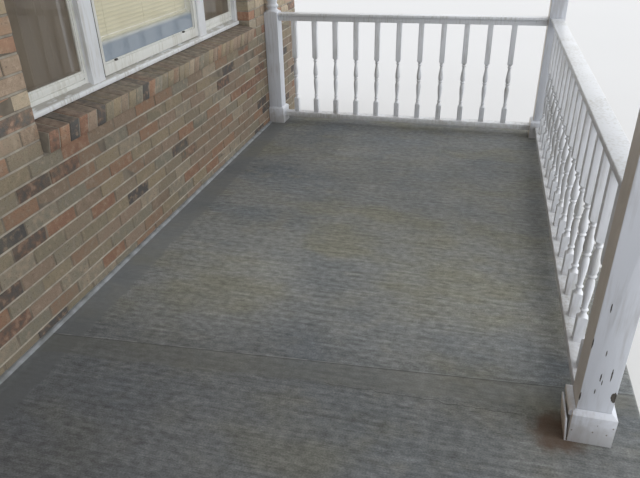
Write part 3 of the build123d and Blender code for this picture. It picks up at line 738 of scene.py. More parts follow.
# %% Mortar of the rowlock
NOSE_INSET = 0.005
TOP_INSET = 0.004
between_bricks = tilted_course("between_bricks", sill_low.x + TOP_INSET, sill_high.x - TOP_INSET)
slide(between_bricks, lambda place: place.y < brick_y, (0, NOSE_INSET, NOSE_INSET * slope))
slide(between_bricks, lambda place: place.z > halfway_z, (0, 0, -TOP_INSET))
wedge_y = brick_y + MORTAR_BACK
wedge_z = nose_z + (wedge_y - nose_y) * slope
wedge = add_block("wedge", (sill_low.x, wedge_y, sill_low.z), (sill_high.x, sill_high.y, wedge_z))
slide(wedge, lambda place: place.y > wedge_y + 0.01 and place.z > sill_low.z + 0.005,
      (0, 0, (sill_high.y - wedge_y) * slope))
rowlock_mortar = join("rowlock_mortar", [between_bricks, wedge])
settle(rowlock_mortar, mortar_finish("sill_mortar", False), "brick")

# %% [markdown]
# Where the slab meets the brick the gap was run with a pale sealing compound, a low fillet
# that follows the foot of the wall on both sides of the door.

# %% Sealed wall foot
SEAL_WIDTH = 0.024
SEAL_HEIGHT = 0.011
SEAL_SLOPE = 0.014
INTO_THE_JOINT = 0.008
sealant = Finish("pale_sealant", 0.6)
sealant_cloud = sealant.noise(0.05, detail=4)
sealant.give("Base Color", sealant.shade(sealant_cloud, (112, 115, 116), (146, 150, 154), 0.35))
sealant.bump(sealant.noise(0.02, detail=3), 0.002, 0.5)
fillets = []
for index, (start, end) in enumerate(((slab_low.x, door_low.x), (door_high.x, slab_high.x))):
    fillet = add_block(f"fillet_{index}", (start, brick_y - SEAL_WIDTH, slab_top),
                       (end, brick_y + INTO_THE_JOINT, slab_top + SEAL_HEIGHT))
    slide(fillet, lambda place: place.y < brick_y and place.z > slab_top + SEAL_HEIGHT / 2,
          (0, SEAL_SLOPE, 0))
    fillets.append(ease(fillet, 0.004))
wall_foot_seal = join("wall_foot_seal", fillets)
settle(wall_foot_seal, sealant, "concrete")

# %% [markdown]
# White oil paint covers all the timber. It is never one white: it yellows in patches, holds
# dust in long brushed streaks, greys near the floor where rain splashes, and shows a slight
# brush texture in raking light. One function makes all the painted finishes.

# %% Painted timber
def painted(name, clean, dusty, gloss=0.42, splash=0.0):
    """Oil paint: a clean and a dusty shade, and how far rain splash greys the foot."""
    paint = Finish(name, gloss)
    cloud = paint.noise(0.22, detail=4)
    streak = paint.noise(0.012, stretch=(1, 1, 12), detail=4)
    mottled = paint.maths("MULTIPLY_ADD", streak, 0.5, paint.maths("MULTIPLY", cloud, 0.5))
    colour = paint.ramp(mottled, [(0.36, dusty), (0.50, clean), (0.75, clean)])
    if splash:
        height = paint.maths("MULTIPLY_ADD", paint.noise(0.03, detail=4), 0.16, slab_top - 0.03)
        low = paint.between(paint.maths("SUBTRACT", paint.z, height), 0.09, -0.02)
        colour = paint.mix(paint.maths("MULTIPLY", low, splash), colour, screen(136, 124, 104))
    paint.give("Base Color", colour)
    paint.bump(paint.noise(0.006, stretch=(1, 1, 6), detail=3), 0.0006, 0.35)
    return paint


white_paint = painted("white_trim_paint", screen(226, 229, 233), screen(206, 206, 203))
rail_paint = painted("white_rail_paint", screen(228, 231, 236), screen(205, 206, 206), splash=0.35)
sash_paint = painted("sash_paint", screen(222, 223, 219), screen(200, 199, 190))
ceiling_paint = painted("ceiling_paint", screen(228, 230, 228), screen(212, 212, 206), gloss=0.5)
print("four painted finishes")

# %% [markdown]
# The posts have had more coats and more knocks. Below the rail the paint has come off the entry
# post in narrow slits along the grain, and in a ragged patch at the corner just above the base,
# down to grey wood. Each chip is an oval spot, tall and thin, with a ragged edge. The nail
# heads in the base have rusted through the paint. The side that faces the house is painted
# warm, a painted reflection of the brick's light, and the posts' white is a little darker and
# bluer than the rails', a painted shade.

# %% Post paint
POST_CHIPS = [
    (-0.9515, 0.713, 0.0030, 0.015), (-0.9255, 0.577, 0.0032, 0.018), (-0.9705, 0.547, 0.0028, 0.010),
    (-0.9725, 0.451, 0.0032, 0.016), (-0.9795, 0.432, 0.0025, 0.010), (-1.0015, 0.465, 0.0034, 0.024),
    (-0.9655, 0.391, 0.0028, 0.010), (-1.0255, 0.377, 0.0180, 0.018), (-0.9265, 0.363, 0.0045, 0.016),
]
NAIL_MARKS = [(-0.9215, 0.232), (-0.9855, 0.235), (-1.0285, 0.232), (-1.0435, 0.263)]
TRIM = 0.019
CHIP_STRETCH = 1.8
CHIP_REACH = 0.006
NAIL_MARK = (0.006, 0.005, 0.006)
# Painted shade: the posts' white is a little darker and bluer than the rails'.
post_paint = painted("post_paint", screen(214, 218, 226), screen(198, 200, 205), gloss=0.4, splash=0.35)
colour = post_paint.shader.inputs["Base Color"].links[0].from_socket
# Painted reflection: the faces towards the house are warmed, as if lit from the brick.
facing = post_paint.node("ShaderNodeNewGeometry", {}).outputs["Normal"]
house_side_bounce = post_paint.node("ShaderNodeSeparateXYZ", {0: facing}).outputs[1]
colour = post_paint.tint(colour, post_paint.between(house_side_bounce, 0.5, 0.9), 0.6, screen(224, 208, 184))
ragged = post_paint.maths("MULTIPLY_ADD", post_paint.noise(0.004, stretch=(1, 1, 3), detail=4), 0.9, -0.45)
chipped = 0.0
for y, z, half_width, half_height in POST_CHIPS:
    spot = post_paint.spot((front_post_low.x, y, z), (CHIP_REACH, half_width, half_height * CHIP_STRETCH))
    spot = post_paint.maths("ADD", spot, ragged)
    chipped = post_paint.maths("MAXIMUM", chipped, post_paint.between(spot, 0.30, 0.42))
fleck = post_paint.between(post_paint.noise(0.009, stretch=(1, 1, 4), detail=3), 0.775, 0.79)
chipped = post_paint.maths("MAXIMUM", chipped, fleck)
wood_grain = post_paint.noise(0.004, stretch=(1, 1, 10), detail=3)
bare_wood = post_paint.shade(wood_grain, (48, 45, 42), (98, 91, 83), 0.35)
colour = post_paint.mix(chipped, colour, bare_wood)
for y, z in NAIL_MARKS:
    rusted = post_paint.spot((front_post_low.x - TRIM, y, z), NAIL_MARK)
    colour = post_paint.tint(colour, post_paint.between(rusted, 0.3, 0.6), 0.8, screen(110, 98, 88))
post_paint.give("Base Color", colour)
raised = post_paint.shader.inputs["Normal"].links[0].from_socket
post_paint.bump(post_paint.maths("SUBTRACT", 1.0, chipped), 0.0012, 0.8, raised)
print(len(POST_CHIPS), "chips and", len(NAIL_MARKS), "nail marks on the entry post")

# %% [markdown]
# Posts and balusters are turned on a lathe from square stock: the cutter leaves the ends
# square and rounds the length between, so each square ends in curved shoulders. The same
# happens here. A half outline is extruded point by point from one vertex and spun round,
# and what it shares with the square stock, its edges eased, is the turned piece.

# %% Turning helpers
def bead(middle, radius, neck, height, points=5):
    """A round bead on a half outline, from neck to neck."""
    steps = [index / (points - 1) for index in range(points)]
    return [(neck + (radius - neck) * sin(pi * step), middle + height * (step - 0.5)) for step in steps]


def lathe(name, outline, segments):
    """Extrude a half outline of (radius, height) from one vertex and spin it round the Z axis."""
    bpy.ops.object.select_all(action="DESELECT")
    bpy.ops.mesh.primitive_circle_add(vertices=3, radius=0.001, location=(0, 0, 0))
    piece = bpy.context.object
    piece.name = name
    bpy.ops.object.mode_set(mode="EDIT")
    bpy.ops.mesh.select_all(action="SELECT")
    bpy.ops.mesh.merge(type="CENTER")
    bpy.ops.transform.translate(value=(outline[0][0], 0, outline[0][1]))
    for (radius, height), (next_radius, next_height) in zip(outline, outline[1:]):
        step = (next_radius - radius, 0, next_height - height)
        bpy.ops.mesh.extrude_region_move(TRANSFORM_OT_translate={"value": step})
    bpy.ops.mesh.select_all(action="SELECT")
    bpy.ops.mesh.spin(steps=segments, angle=2 * pi, center=(0, 0, 0), axis=(0, 0, 1))
    bpy.ops.mesh.select_all(action="SELECT")
    bpy.ops.mesh.remove_doubles(threshold=TOUCHING)
    bpy.ops.mesh.normals_make_consistent(inside=False)
    bpy.ops.object.mode_set(mode="OBJECT")
    return piece


def turned_timber(name, outline, width, eased, segments):
    """Square stock, its long edges eased, cut to a turned outline."""
    height = outline[-1][1]
    stock = add_block(name, (-width / 2, -width / 2, 0), (width / 2, width / 2, height))
    ease(stock, eased)
    turning = lathe("turning", outline, segments)
    cut = stock.modifiers.new("turned", "BOOLEAN")
    cut.operation = "INTERSECT"
    cut.solver = "EXACT"
    cut.object = turning
    apply(stock, cut)
    bpy.data.objects.remove(turning)
    soften(stock, 40)
    return stock


# %% [markdown]
# A porch post: square at the foot, then neck, bead, a long vase that swells and draws in, a
# ring, a slim shaft, a bead near the top, and square again to the beam. The three front posts
# stay square to well above the rail. The two at the wall are turned from just under its cap.

# %% Turned posts
POST_SQUARES = {
    1.190: ["far_corner_post", "entry_post", "near_corner_post"],
    0.868: ["far_wall_post", "near_wall_post"],
}
TURNED_END = 2.130
SHOULDER = 0.022
NECK = 0.012
BEAD = 0.028
VASE = 0.290
post_width = front_post_high.x - front_post_low.x
post_length = front_post_high.z - front_post_low.z


def post_outline(square):
    """Half outline of a post that is square up to the given height."""
    neck = square + SHOULDER
    vase = neck + 2 * NECK + BEAD
    ring = vase + VASE
    shaft = ring + BEAD + 0.030
    top = TURNED_END - SHOULDER - 2 * NECK - BEAD
    return [
        (0, 0), (post_width, 0), (post_width, square), (0.072, square + 0.003), (0.058, square + 0.009),
        (0.046, square + 0.018), (0.039, neck), *bead(neck + NECK + BEAD / 2, 0.049, 0.039, BEAD, 7),
        (0.039, vase), (0.045, vase + 0.020), (0.050, vase + 0.045), (0.052, vase + 0.070),
        (0.0495, vase + 0.138), (0.046, vase + 0.188), (0.041, vase + 0.243),
        *bead(ring + BEAD / 2, 0.049, 0.036, BEAD, 7),
        (0.043, shaft), (0.0415, (shaft + top) / 2), (0.037, top),
        *bead(top + NECK + BEAD / 2, 0.049, 0.037, BEAD, 7), (0.037, TURNED_END - SHOULDER),
        (0.046, TURNED_END - 0.012), (0.058, TURNED_END - 0.005), (0.072, TURNED_END - 0.001),
        (post_width, TURNED_END), (post_width, post_length), (0, post_length),
    ]


for square, nodes in POST_SQUARES.items():
    post_pattern = turned_timber("post_pattern", post_outline(square), post_width, 0.0028, 40)
    for node in nodes:
        post_low, post_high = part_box(node)
        mesh = post_pattern.data.copy()
        post = bpy.data.objects.new(f"{node}_turned", mesh)
        bpy.context.scene.collection.objects.link(post)
        middle = (post_low + post_high) / 2
        mesh.transform(Matrix.Translation((middle.x, middle.y, post_low.z)))
        settle(post, post_paint, "post_paint", node)
    bpy.data.objects.remove(post_pattern)

# %% [markdown]
# Each post stands in a collar of boards, bevelled on top all round, with a hair's gap to the
# post that shows as a dark line. On the entry post the near board stops
# short of its corner, and the board on the house side has split under its bevel: the outer
# leaf has come away and leans out.

# %% Base boards
TRIM_HEIGHT = 0.130
BEVEL_RUN, BEVEL_RISE = 0.0175, 0.013
PAINT_GAP = 0.0008
SHORT_END = 0.010
SPLIT_HEIGHT, SPLIT_CORE, SPLIT_GAP, SPLIT_LEAN = 0.098, 0.011, 0.002, 0.011


def base_collar(node):
    """The four boards round the foot of a post, cut off where they meet the brick."""
    post_low, post_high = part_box(node)
    middle = (post_low + post_high) / 2
    top = slab_top + TRIM_HEIGHT
    collar = add_block(f"{node}_base_boards", (post_low.x - TRIM, post_low.y - TRIM, slab_top),
                       (post_high.x + TRIM, post_high.y + TRIM, top))
    split(collar, (0, 0, top - BEVEL_RISE), (0, 0, 1))
    for side_x in (-1, 1):
        for side_y in (-1, 1):
            slide(collar, lambda place: place.z > top - BEVEL_RISE / 2
                  and (place.x - middle.x) * side_x > 0 and (place.y - middle.y) * side_y > 0,
                  (-side_x * BEVEL_RUN, -side_y * BEVEL_RUN, 0))
    cut_out(collar, (post_low.x - PAINT_GAP, post_low.y - PAINT_GAP, slab_top - TRIM),
            (post_high.x + PAINT_GAP, post_high.y + PAINT_GAP, top + TRIM))
    if post_high.y + TRIM > brick_y:
        split(collar, (0, brick_y - PAINT_GAP, 0), (0, 1, 0), use_fill=True, clear_outer=True)
    return collar


def split_board(collar):
    """Shorten the entry post's near board, split the house-side one and lean its leaf out."""
    near_x, far_x = front_post_low.x - TRIM, front_post_high.x + TRIM
    board_y = front_post_high.y
    cut_out(collar, (near_x - TRIM, board_y + SHORT_END, slab_top - TRIM),
            (near_x + TRIM, board_y + 2 * TRIM, slab_top + 2 * TRIM_HEIGHT))
    cut_out(collar, (near_x + TRIM, board_y + SPLIT_CORE, slab_top - TRIM),
            (far_x + TRIM, board_y + 2 * TRIM, slab_top + SPLIT_HEIGHT))
    leaf = add_block("leaf", (near_x, board_y + SPLIT_CORE + SPLIT_GAP, slab_top),
                     (near_x + post_width + TRIM, board_y + TRIM, slab_top + SPLIT_HEIGHT))
    slide(leaf, lambda place: place.z > slab_top + SPLIT_CORE, (0, SPLIT_LEAN, 0))
    return join(collar.name, [collar, leaf])


for node in sum(POST_SQUARES.values(), []):
    collar = base_collar(node)
    if node == "entry_post":
        collar = split_board(collar)
    settle(ease(collar, 0.0014), post_paint, "post_paint", f"{node}_base")

# %% [markdown]
# The balusters are turned between a square foot and a long square head. Their places come
# from the frame: one copy stands on each solid of a row, found from the row's first and last.

# %% Turned balusters
STOCK = 0.038
FOOT_BLOCK = 0.112
HEAD_BLOCK = 0.440
ROWS = {"front_balusters": ("x", 17), "far_balusters": ("y", 11), "near_balusters": ("y", 11)}
row_low, row_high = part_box("front_balusters")
baluster_length = row_high.z - row_low.z
baluster_outline = [
    (0, 0), (STOCK, 0), (STOCK, FOOT_BLOCK - 0.004), (0.024, FOOT_BLOCK - 0.002),
    (0.0165, FOOT_BLOCK + 0.004), (0.0125, FOOT_BLOCK + 0.012), (0.0100, FOOT_BLOCK + 0.022),
    *bead(FOOT_BLOCK + 0.031, 0.0165, 0.0110, 0.012),
    (0.0105, FOOT_BLOCK + 0.042), (0.0120, FOOT_BLOCK + 0.062), (0.0150, FOOT_BLOCK + 0.094),
    (0.0170, FOOT_BLOCK + 0.126), (0.0172, FOOT_BLOCK + 0.142), (0.0155, FOOT_BLOCK + 0.158),
    (0.0120, HEAD_BLOCK - 0.162), *bead(HEAD_BLOCK - 0.148, 0.0185, 0.0125, 0.014),
    (0.0130, HEAD_BLOCK - 0.139), (0.0165, HEAD_BLOCK - 0.134), (0.0185, HEAD_BLOCK - 0.124),
    (0.0183, HEAD_BLOCK - 0.106), (0.0160, HEAD_BLOCK - 0.082), (0.0120, HEAD_BLOCK - 0.054),
    (0.0092, HEAD_BLOCK - 0.034), *bead(HEAD_BLOCK - 0.023, 0.0165, 0.0110, 0.012),
    (0.0115, HEAD_BLOCK - 0.012), (0.0150, HEAD_BLOCK - 0.006), (0.024, HEAD_BLOCK + 0.002),
    (STOCK, HEAD_BLOCK + 0.004), (STOCK, baluster_length), (0, baluster_length),
]
for node, (direction, count) in ROWS.items():
    row_low, row_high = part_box(node)
    middle = (row_low + row_high) / 2
    spots = []
    for share in np.linspace(0, 1, count):
        spot = Vector((middle.x, middle.y, row_low.z))
        first, last = getattr(row_low, direction) + STOCK / 2, getattr(row_high, direction) - STOCK / 2
        setattr(spot, direction, first + share * (last - first))
        spots.append((spot, (0, 0, 0), 0.5))
    pattern = turned_timber("baluster_pattern", baluster_outline, STOCK, 0.0014, 20)
    row = lay_copies(f"{node}_turned", pattern, spots)
    settle(row, rail_paint, "rail_paint", node)

# %% [markdown]
# Bottom rails, beams and boards already have their real outline in the frame. What they lack
# is the slight rounding that every planed and painted edge has, which catches the light. So
# each is copied, its triangles merged into flat faces, and its edges eased by a millimetre or
# two before it takes its paint.

# %% Planed and painted pieces
timber = two_shades("plain_softwood", 0.7, (0.006, (1, 14, 1), 4), (176, 142, 98), (212, 184, 140),
                    relief=(0.001, 0.3))
PLANED = [
    (0.0030, rail_paint, "rail_paint", ["front_bottom_rail", "far_bottom_rail", "near_bottom_rail"]),
    (0.0030, white_paint, "white_paint", ["door_frame", "front_beam", "far_beam", "near_beam"]),
    (0.0020, white_paint, "white_paint", ["front_fascia", "rake_boards"]),
    (0.0015, ceiling_paint, "ceiling_paint", ["soffit"]),
]
for width, finish, slot, nodes in PLANED:
    for node in nodes:
        settle(ease(worked_copy(node, f"{node}_planed"), width), finish, slot, node)
coat(timber, "ceiling_joists", "roof_framing", "roof_deck")

# %% [markdown]
# A top rail is two boards: a wide cap with rounded edges, flat enough to lean on, and under it
# a narrower, deeper sub-rail that the balusters are fixed to.

# %% Top rails
CAP_THICK = 0.019
SUBRAIL_WIDTH = 0.044
for side in ("front", "far", "near"):
    rail_low, rail_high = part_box(f"{side}_top_rail")
    under_low, under_high = rail_low.copy(), rail_high.copy()
    across = "y" if side == "front" else "x"
    centre_line = (getattr(rail_low, across) + getattr(rail_high, across)) / 2
    setattr(under_low, across, centre_line - SUBRAIL_WIDTH / 2)
    setattr(under_high, across, centre_line + SUBRAIL_WIDTH / 2)
    under_high.z = rail_high.z - CAP_THICK
    cap = ease(add_block("cap", (rail_low.x, rail_low.y, under_high.z), rail_high), 0.004, 3)
    subrail = ease(add_block("subrail", under_low, under_high), 0.002)
    settle(join(f"{side}_top_rail_boards", [cap, subrail]), rail_paint, "rail_paint", f"{side}_top_rail")

# %% [markdown]
# The window is a wide fixed light between two narrow ones, parted by broad mullions. It is put
# together here as a joiner does it: first the uprights and the head, and a sill whose top falls
# from the sashes to a rounded nose. The uprights are scribed down onto that slope.

# %% Window frame and sill
FRAME_BOARD = 0.038
SILL_BOARD = 0.022
SILL_FALL = 0.015
SILL_NOSE = 0.012
SIDE_SETBACK = 0.027
CENTRE_SETBACK = 0.010
frame_y = window_low.y
frame_foot = rowlock_back + SILL_BOARD + SILL_FALL
light_head = window_high.z - FRAME_BOARD
lights = {side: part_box(f"{side}_window_sash") for side in ("left", "centre", "right")}

sill_board = add_block("window_sill_board", (window_low.x, frame_y - SILL_NOSE, rowlock_back),
                       (window_high.x, window_high.y, frame_foot))
split(sill_board, (0, frame_y + SIDE_SETBACK, 0), (0, 1, 0))
slide(sill_board, lambda place: place.y < frame_y and place.z > rowlock_back + SILL_BOARD,
      (0, 0, -SILL_FALL))
sill_paint = painted("sill_paint", screen(226, 229, 232), screen(196, 196, 192))
colour = sill_paint.shader.inputs["Base Color"].links[0].from_socket
# Along the back of the sill's top, by the sashes, the paint is darker and browner in patches.
shelf = sill_paint.between(sill_paint.y, frame_y - 0.008, frame_y - 0.002)
brown_patches = sill_paint.between(sill_paint.noise(0.02, stretch=(4, 1, 1), detail=4), 0.38, 0.50)
colour = sill_paint.tint(colour, sill_paint.maths("MULTIPLY", shelf, brown_patches), 0.6, screen(150, 142, 126))
sill_paint.give("Base Color", colour)
settle(ease(sill_board, 0.004, 3), sill_paint, "white_paint", "window_sill")

sash_ends = [corner.x for box in lights.values() for corner in box]
edges = [window_low.x, *sash_ends, window_high.x]
boards = [ease(add_block("head", (window_low.x, frame_y, light_head), window_high), 0.002)]
for start, end in zip(edges[::2], edges[1::2]):
    boards.append(ease(add_block("upright", (start, frame_y, frame_foot - SILL_FALL),
                                 (end, window_high.y, light_head)), 0.002))
settle(join("window_frame_boards", boards), white_paint, "white_paint", "window_frame")

# %% [markdown]
# A sash is two stiles and its rails, with a thin lip round each pane that stands a few
# millimetres behind their faces. The side sashes are set well back and have two panes, one
# above the other, and a groove along the foot. The wide middle one stands nearly flush.

# %% Sashes
LIP = 0.008
MEETING_RAIL = 0.034
GROOVE = (0.019, 0.027, 0.006)
PANE_THICK = 0.004
CENTRE_FOOT_RAIL = 0.060
panes = []


def sash(side, setback, depth, stile, foot_rail, step, inset, panes_high):
    """Board up one sash, its lips a step back and its glass inset, and leave its panes for later."""
    left, right = lights[side][0].x, lights[side][1].x
    face, back = frame_y + setback, frame_y + setback + depth
    boards = []

    def board(start, end, foot, head, front=face):
        boards.append(ease(add_block("board", (start, front, foot), (end, back, head)), 0.0012))

    glass_left, glass_right = left + stile, right - stile
    between_left, between_right = glass_left - LIP, glass_right + LIP
    board(left, between_left, frame_foot, light_head)
    board(between_right, right, frame_foot, light_head)
    board(between_left, between_right, light_head - stile + LIP, light_head)
    room = light_head - stile - frame_foot - foot_rail - MEETING_RAIL * (panes_high - 1)
    foot = frame_foot + foot_rail
    if panes_high > 1:
        groove_low, groove_high, groove_depth = GROOVE
        board(between_left, between_right, frame_foot, frame_foot + groove_low)
        board(between_left, between_right, frame_foot + groove_low, frame_foot + groove_high,
              face + groove_depth)
        board(between_left, between_right, frame_foot + groove_high, foot - LIP)
    else:
        board(between_left, between_right, frame_foot, foot - LIP)
    for number in range(panes_high):
        head = foot + room / panes_high
        if number:
            board(between_left, between_right, foot - MEETING_RAIL + LIP, foot - LIP)
        board(between_left, glass_left, foot - LIP, head + LIP, face + step)
        board(glass_right, between_right, foot - LIP, head + LIP, face + step)
        board(glass_left, glass_right, foot - LIP, foot, face + step)
        board(glass_left, glass_right, head, head + LIP, face + step)
        panes.append(add_block("pane", (glass_left - LIP / 3, face + inset, foot - LIP / 3),
                               (glass_right + LIP / 3, face + inset + PANE_THICK, head + LIP / 3)))
        foot = head + MEETING_RAIL
    settle(join(f"{side}_sash_boards", boards), sash_paint, "sash_paint", f"{side}_window_sash")


for side in ("left", "right"):
    sash(side, setback=SIDE_SETBACK, depth=0.045, stile=0.028, foot_rail=0.059, step=0.004, inset=0.010,
         panes_high=2)
sash("centre", setback=CENTRE_SETBACK, depth=0.040, stile=0.044, foot_rail=CENTRE_FOOT_RAIL, step=0.007,
     inset=0.014, panes_high=1)

# %% [markdown]
# The middle sash is sealed to its mullion with a bead that has gone black, and two small dark
# keepers stand on the lip below the glass.

# %% Seal and keepers
KEEPERS = (0.6125, 1.3765)
KEEPER_WIDTH, KEEPER_HEIGHT, KEEPER_DEPTH = 0.020, 0.009, 0.012
SEAL_BEAD = 0.005
PROUD = 0.002
centre_x = lights["centre"][0].x
keeper_y = frame_y + CENTRE_SETBACK - PROUD
lip_z = frame_foot + CENTRE_FOOT_RAIL
fittings = []
for x in KEEPERS:
    keeper = add_block("keeper", (x - KEEPER_WIDTH / 2, keeper_y, lip_z - KEEPER_HEIGHT),
                       (x + KEEPER_WIDTH / 2, keeper_y + KEEPER_DEPTH, lip_z))
    fittings.append(ease(keeper, 0.0015))
seal = add_block("seal", (centre_x - SEAL_BEAD, frame_y - PROUD / 2, frame_foot),
                 (centre_x, frame_y - PROUD / 2 + SEAL_BEAD, light_head))
fittings.append(ease(seal, 0.0008, 1))
black_seal = two_shades("black_seal", 0.6, (0.02, (1, 1, 1), 4), (40, 38, 36), (84, 80, 74),
                        levels=(0.35, 0.7))
settle(join("window_fittings", fittings), black_seal, "sash_paint")

# %% [markdown]
# Glass is made as a thin smooth surface that lets most of the view through. The middle pane is
# nearly clear, so that the blind shows, with a faint pale painted reflection over it. Below the
# blind the pane is painted blue grey, a painted reflection over the dim room. The side panes are
# painted a dusty brown: dust, and painted shade for the dark behind the curtains.

# %% Glass
glass = Finish("dim_window_glass", 0.03)
blind_low, blind_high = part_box("window_blind")
in_middle = glass.maths("MULTIPLY", glass.between(glass.x, blind_low.x - 0.04, blind_low.x - 0.02),
                        glass.between(glass.x, blind_high.x + 0.04, blind_high.x + 0.02))
below = glass.between(glass.z, blind_low.z + 0.03, blind_low.z - 0.01)
under_blind = glass.maths("MULTIPLY", in_middle, below)
# The side panes' brown is dust with painted shade for the dark room behind the curtains.
dust_and_painted_shade = glass.shade(glass.noise(0.12, stretch=(1, 1, 2), detail=4), (104, 93, 80), (134, 122, 106))
# The middle pane's pale colour is a painted reflection, and below the blind a painted blue-grey reflection.
colour = glass.mix(in_middle, dust_and_painted_shade, screen(226, 226, 212))
glass.give("Base Color", glass.mix(under_blind, colour, screen(150, 162, 174)))
clear_enough = glass.maths("MULTIPLY_ADD", in_middle, -0.22, 0.47)
glass.give("Alpha", glass.maths("MULTIPLY_ADD", under_blind, 0.60, clear_enough))
glass.bump(glass.noise(0.35, detail=1), 0.002, 0.15)
settle(join("window_panes", panes), glass, "window_glass", "window_glass")

# %% [markdown]
# A slatted blind fills the middle light, shut, its slats leaning steeply and lapping like
# clapboards. One slat is modelled as a shallow trough and laid at each step down to the
# bottom rail. The ladder cords are three thin lines in front.

# %% Blind
SLAT_STEP = 0.0205
SLAT_LEAN = 66
SLAT_WIDTH, SLAT_THICK = 0.025, 0.0006
CROWN, HALF_CROWN = 0.0026, 0.0019
SLAT_CUTS = (-0.006, 0.0, 0.006)
HEAD_BOX = 0.040
CORD_INSET = 0.16
CORD = 0.001
blind = painted("blind_slats", screen(250, 243, 214), screen(236, 226, 196), gloss=0.35)
slat_y = blind_low.y + 0.010
slat_left, slat_right = blind_low.x + 0.012, blind_high.x - 0.012
slat_middle = (slat_left + slat_right) / 2
pattern = add_block("slat_pattern", (slat_left - slat_middle, -SLAT_WIDTH / 2, -SLAT_THICK / 2),
                    (slat_right - slat_middle, SLAT_WIDTH / 2, SLAT_THICK / 2))
for cut_y in SLAT_CUTS:
    split(pattern, (0, cut_y, 0), (0, 1, 0))
slide(pattern, lambda place: abs(place.y) < 0.001, (0, 0, CROWN))
slide(pattern, lambda place: 0.001 < abs(place.y) < 0.008, (0, 0, HALF_CROWN))
slat_count = int((blind_high.z - 0.045 - blind_low.z - 0.03) / SLAT_STEP)
slat_places = [((slat_middle, slat_y, blind_low.z + 0.036 + SLAT_STEP * index), (0, 0, 0), 0.5)
               for index in range(slat_count)]
slats = lay_copies("blind_slats", pattern, slat_places, tilt=radians(-SLAT_LEAN))
head_box = ease(add_block("head_box", (blind_low.x, blind_low.y, blind_high.z - HEAD_BOX), blind_high), 0.002)
foot_bar = ease(add_block("foot_bar", (slat_left, blind_low.y, blind_low.z),
                          (slat_right, blind_low.y + 0.018, blind_low.z + 0.022)), 0.004, 3)
cords = [ease(add_block(f"ladder_{index}", (x - CORD, blind_low.y - CORD, blind_low.z + 0.01),
                        (x + CORD, blind_low.y + CORD, blind_high.z - 0.03)), 0.0005, 1)
         for index, x in enumerate((slat_left + CORD_INSET, slat_middle, slat_right - CORD_INSET))]
window_blind = join("window_blind_slatted", [slats, head_box, foot_bar, *cords])
settle(window_blind, blind, "blind", "window_blind")

# %% [markdown]
# A light curtain hangs from a rod behind each side light, pushed together so that it falls
# in uneven folds. A curtain is a flat cloth that is wider than its window: the grid starts
# flat and is gathered by sliding its threads sideways into waves. The folds are narrow at
# the rod and loosen towards the hem, and the flat width is measured along the waves.

# %% Curtains
cloth = Finish("light_curtain", 0.85, Sheen_Weight=0.25, Sheen_Roughness=0.5)
warp = cloth.noise(0.0016, stretch=(1, 1, 40), detail=2)
weft = cloth.noise(0.0016, stretch=(40, 40, 1), detail=2)
weave = cloth.maths("MAXIMUM", warp, weft)
woven = cloth.shade(weave, (204, 196, 182), (232, 226, 214), 0.4)
faded = cloth.between(cloth.noise(0.15, detail=3), 0.3, 0.8)
cloth.give("Base Color", cloth.mix(faded, woven, screen(216, 208, 194)))
cloth.bump(weave, 0.0006, 0.5)
brass = two_shades("satin_brass", 0.34, (0.01, (8, 1, 1), 3), (150, 122, 72), (196, 166, 104), Metallic=1.0)
coat(brass, "curtain_rods")

FOLD = 0.052
COLUMNS, ROW_COUNT = 150, 26
SIDE_GAP = 0.016
OVER_THE_ROD = 0.006
ALL_ROUND = 6.28
curtain_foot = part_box("window_curtains")[0].z
rod_low, rod_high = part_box("curtain_rods")
light_starts = {"left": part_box("left_window_sash"), "right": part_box("right_window_sash")}


def curtain(side, seed):
    """Gather a flat grid into the folds of one curtain, and measure the cloth it takes."""
    light_low, light_high = light_starts[side]
    start, end = light_low.x + SIDE_GAP, light_high.x - SIDE_GAP
    foot, head = curtain_foot, rod_high.z + OVER_THE_ROD
    bpy.ops.object.select_all(action="DESELECT")
    bpy.ops.mesh.primitive_grid_add(x_subdivisions=COLUMNS, y_subdivisions=ROW_COUNT, size=1)
    sheet = bpy.context.object
    sheet.name = f"{side}_curtain"
    chance = random.Random(seed)
    bends = [(chance.uniform(0.5, 1.6), chance.uniform(0, ALL_ROUND), chance.uniform(0.2, 0.5))
             for index in range(3)]
    middle_y = (rod_low.y + rod_high.y) / 2
    for vertex in sheet.data.vertices:
        across, up = vertex.co.x + 0.5, vertex.co.y + 0.5
        drift = sum(size * sin(rate * across * ALL_ROUND + shift + up * 1.3) for rate, shift, size in bends)
        phase = 2 * pi * across * (end - start) / FOLD + drift
        depth = 0.006 + 0.008 * (1 - up) ** 0.6
        vertex.co = (start + across * (end - start) + 0.003 * sin(2 * phase),
                     middle_y + depth * sin(phase) * (0.8 + 0.2 * sin(across * 17 + seed)),
                     foot + up * (head - foot))
    points = [vertex.co for vertex in sheet.data.vertices]
    hem, top = points[:COLUMNS + 1], points[-COLUMNS - 1:]
    hem_width = sum((after - before).length for before, after in zip(hem, hem[1:]))
    top_width = sum((after - before).length for before, after in zip(top, top[1:]))
    soften(sheet, 60)
    return sheet, ((hem_width + top_width) / 2, head - foot)


curtains = {}
for side, seed in (("left", 5), ("right", 11)):
    sheet, flat = curtain(side, seed)
    curtains[side] = sheet
    print(side, "curtain is cut", [round(value, 3) for value in flat], "m")
settle(curtains["left"], cloth, "curtain", "window_curtains")
settle(curtains["right"], cloth, "curtain", "window_curtains")

# %% [markdown]
# The entry has a six-panel door with a brass knob and a metal threshold. The leaf's panels are
# in its solid, and only need their edges eased and a satin paint.

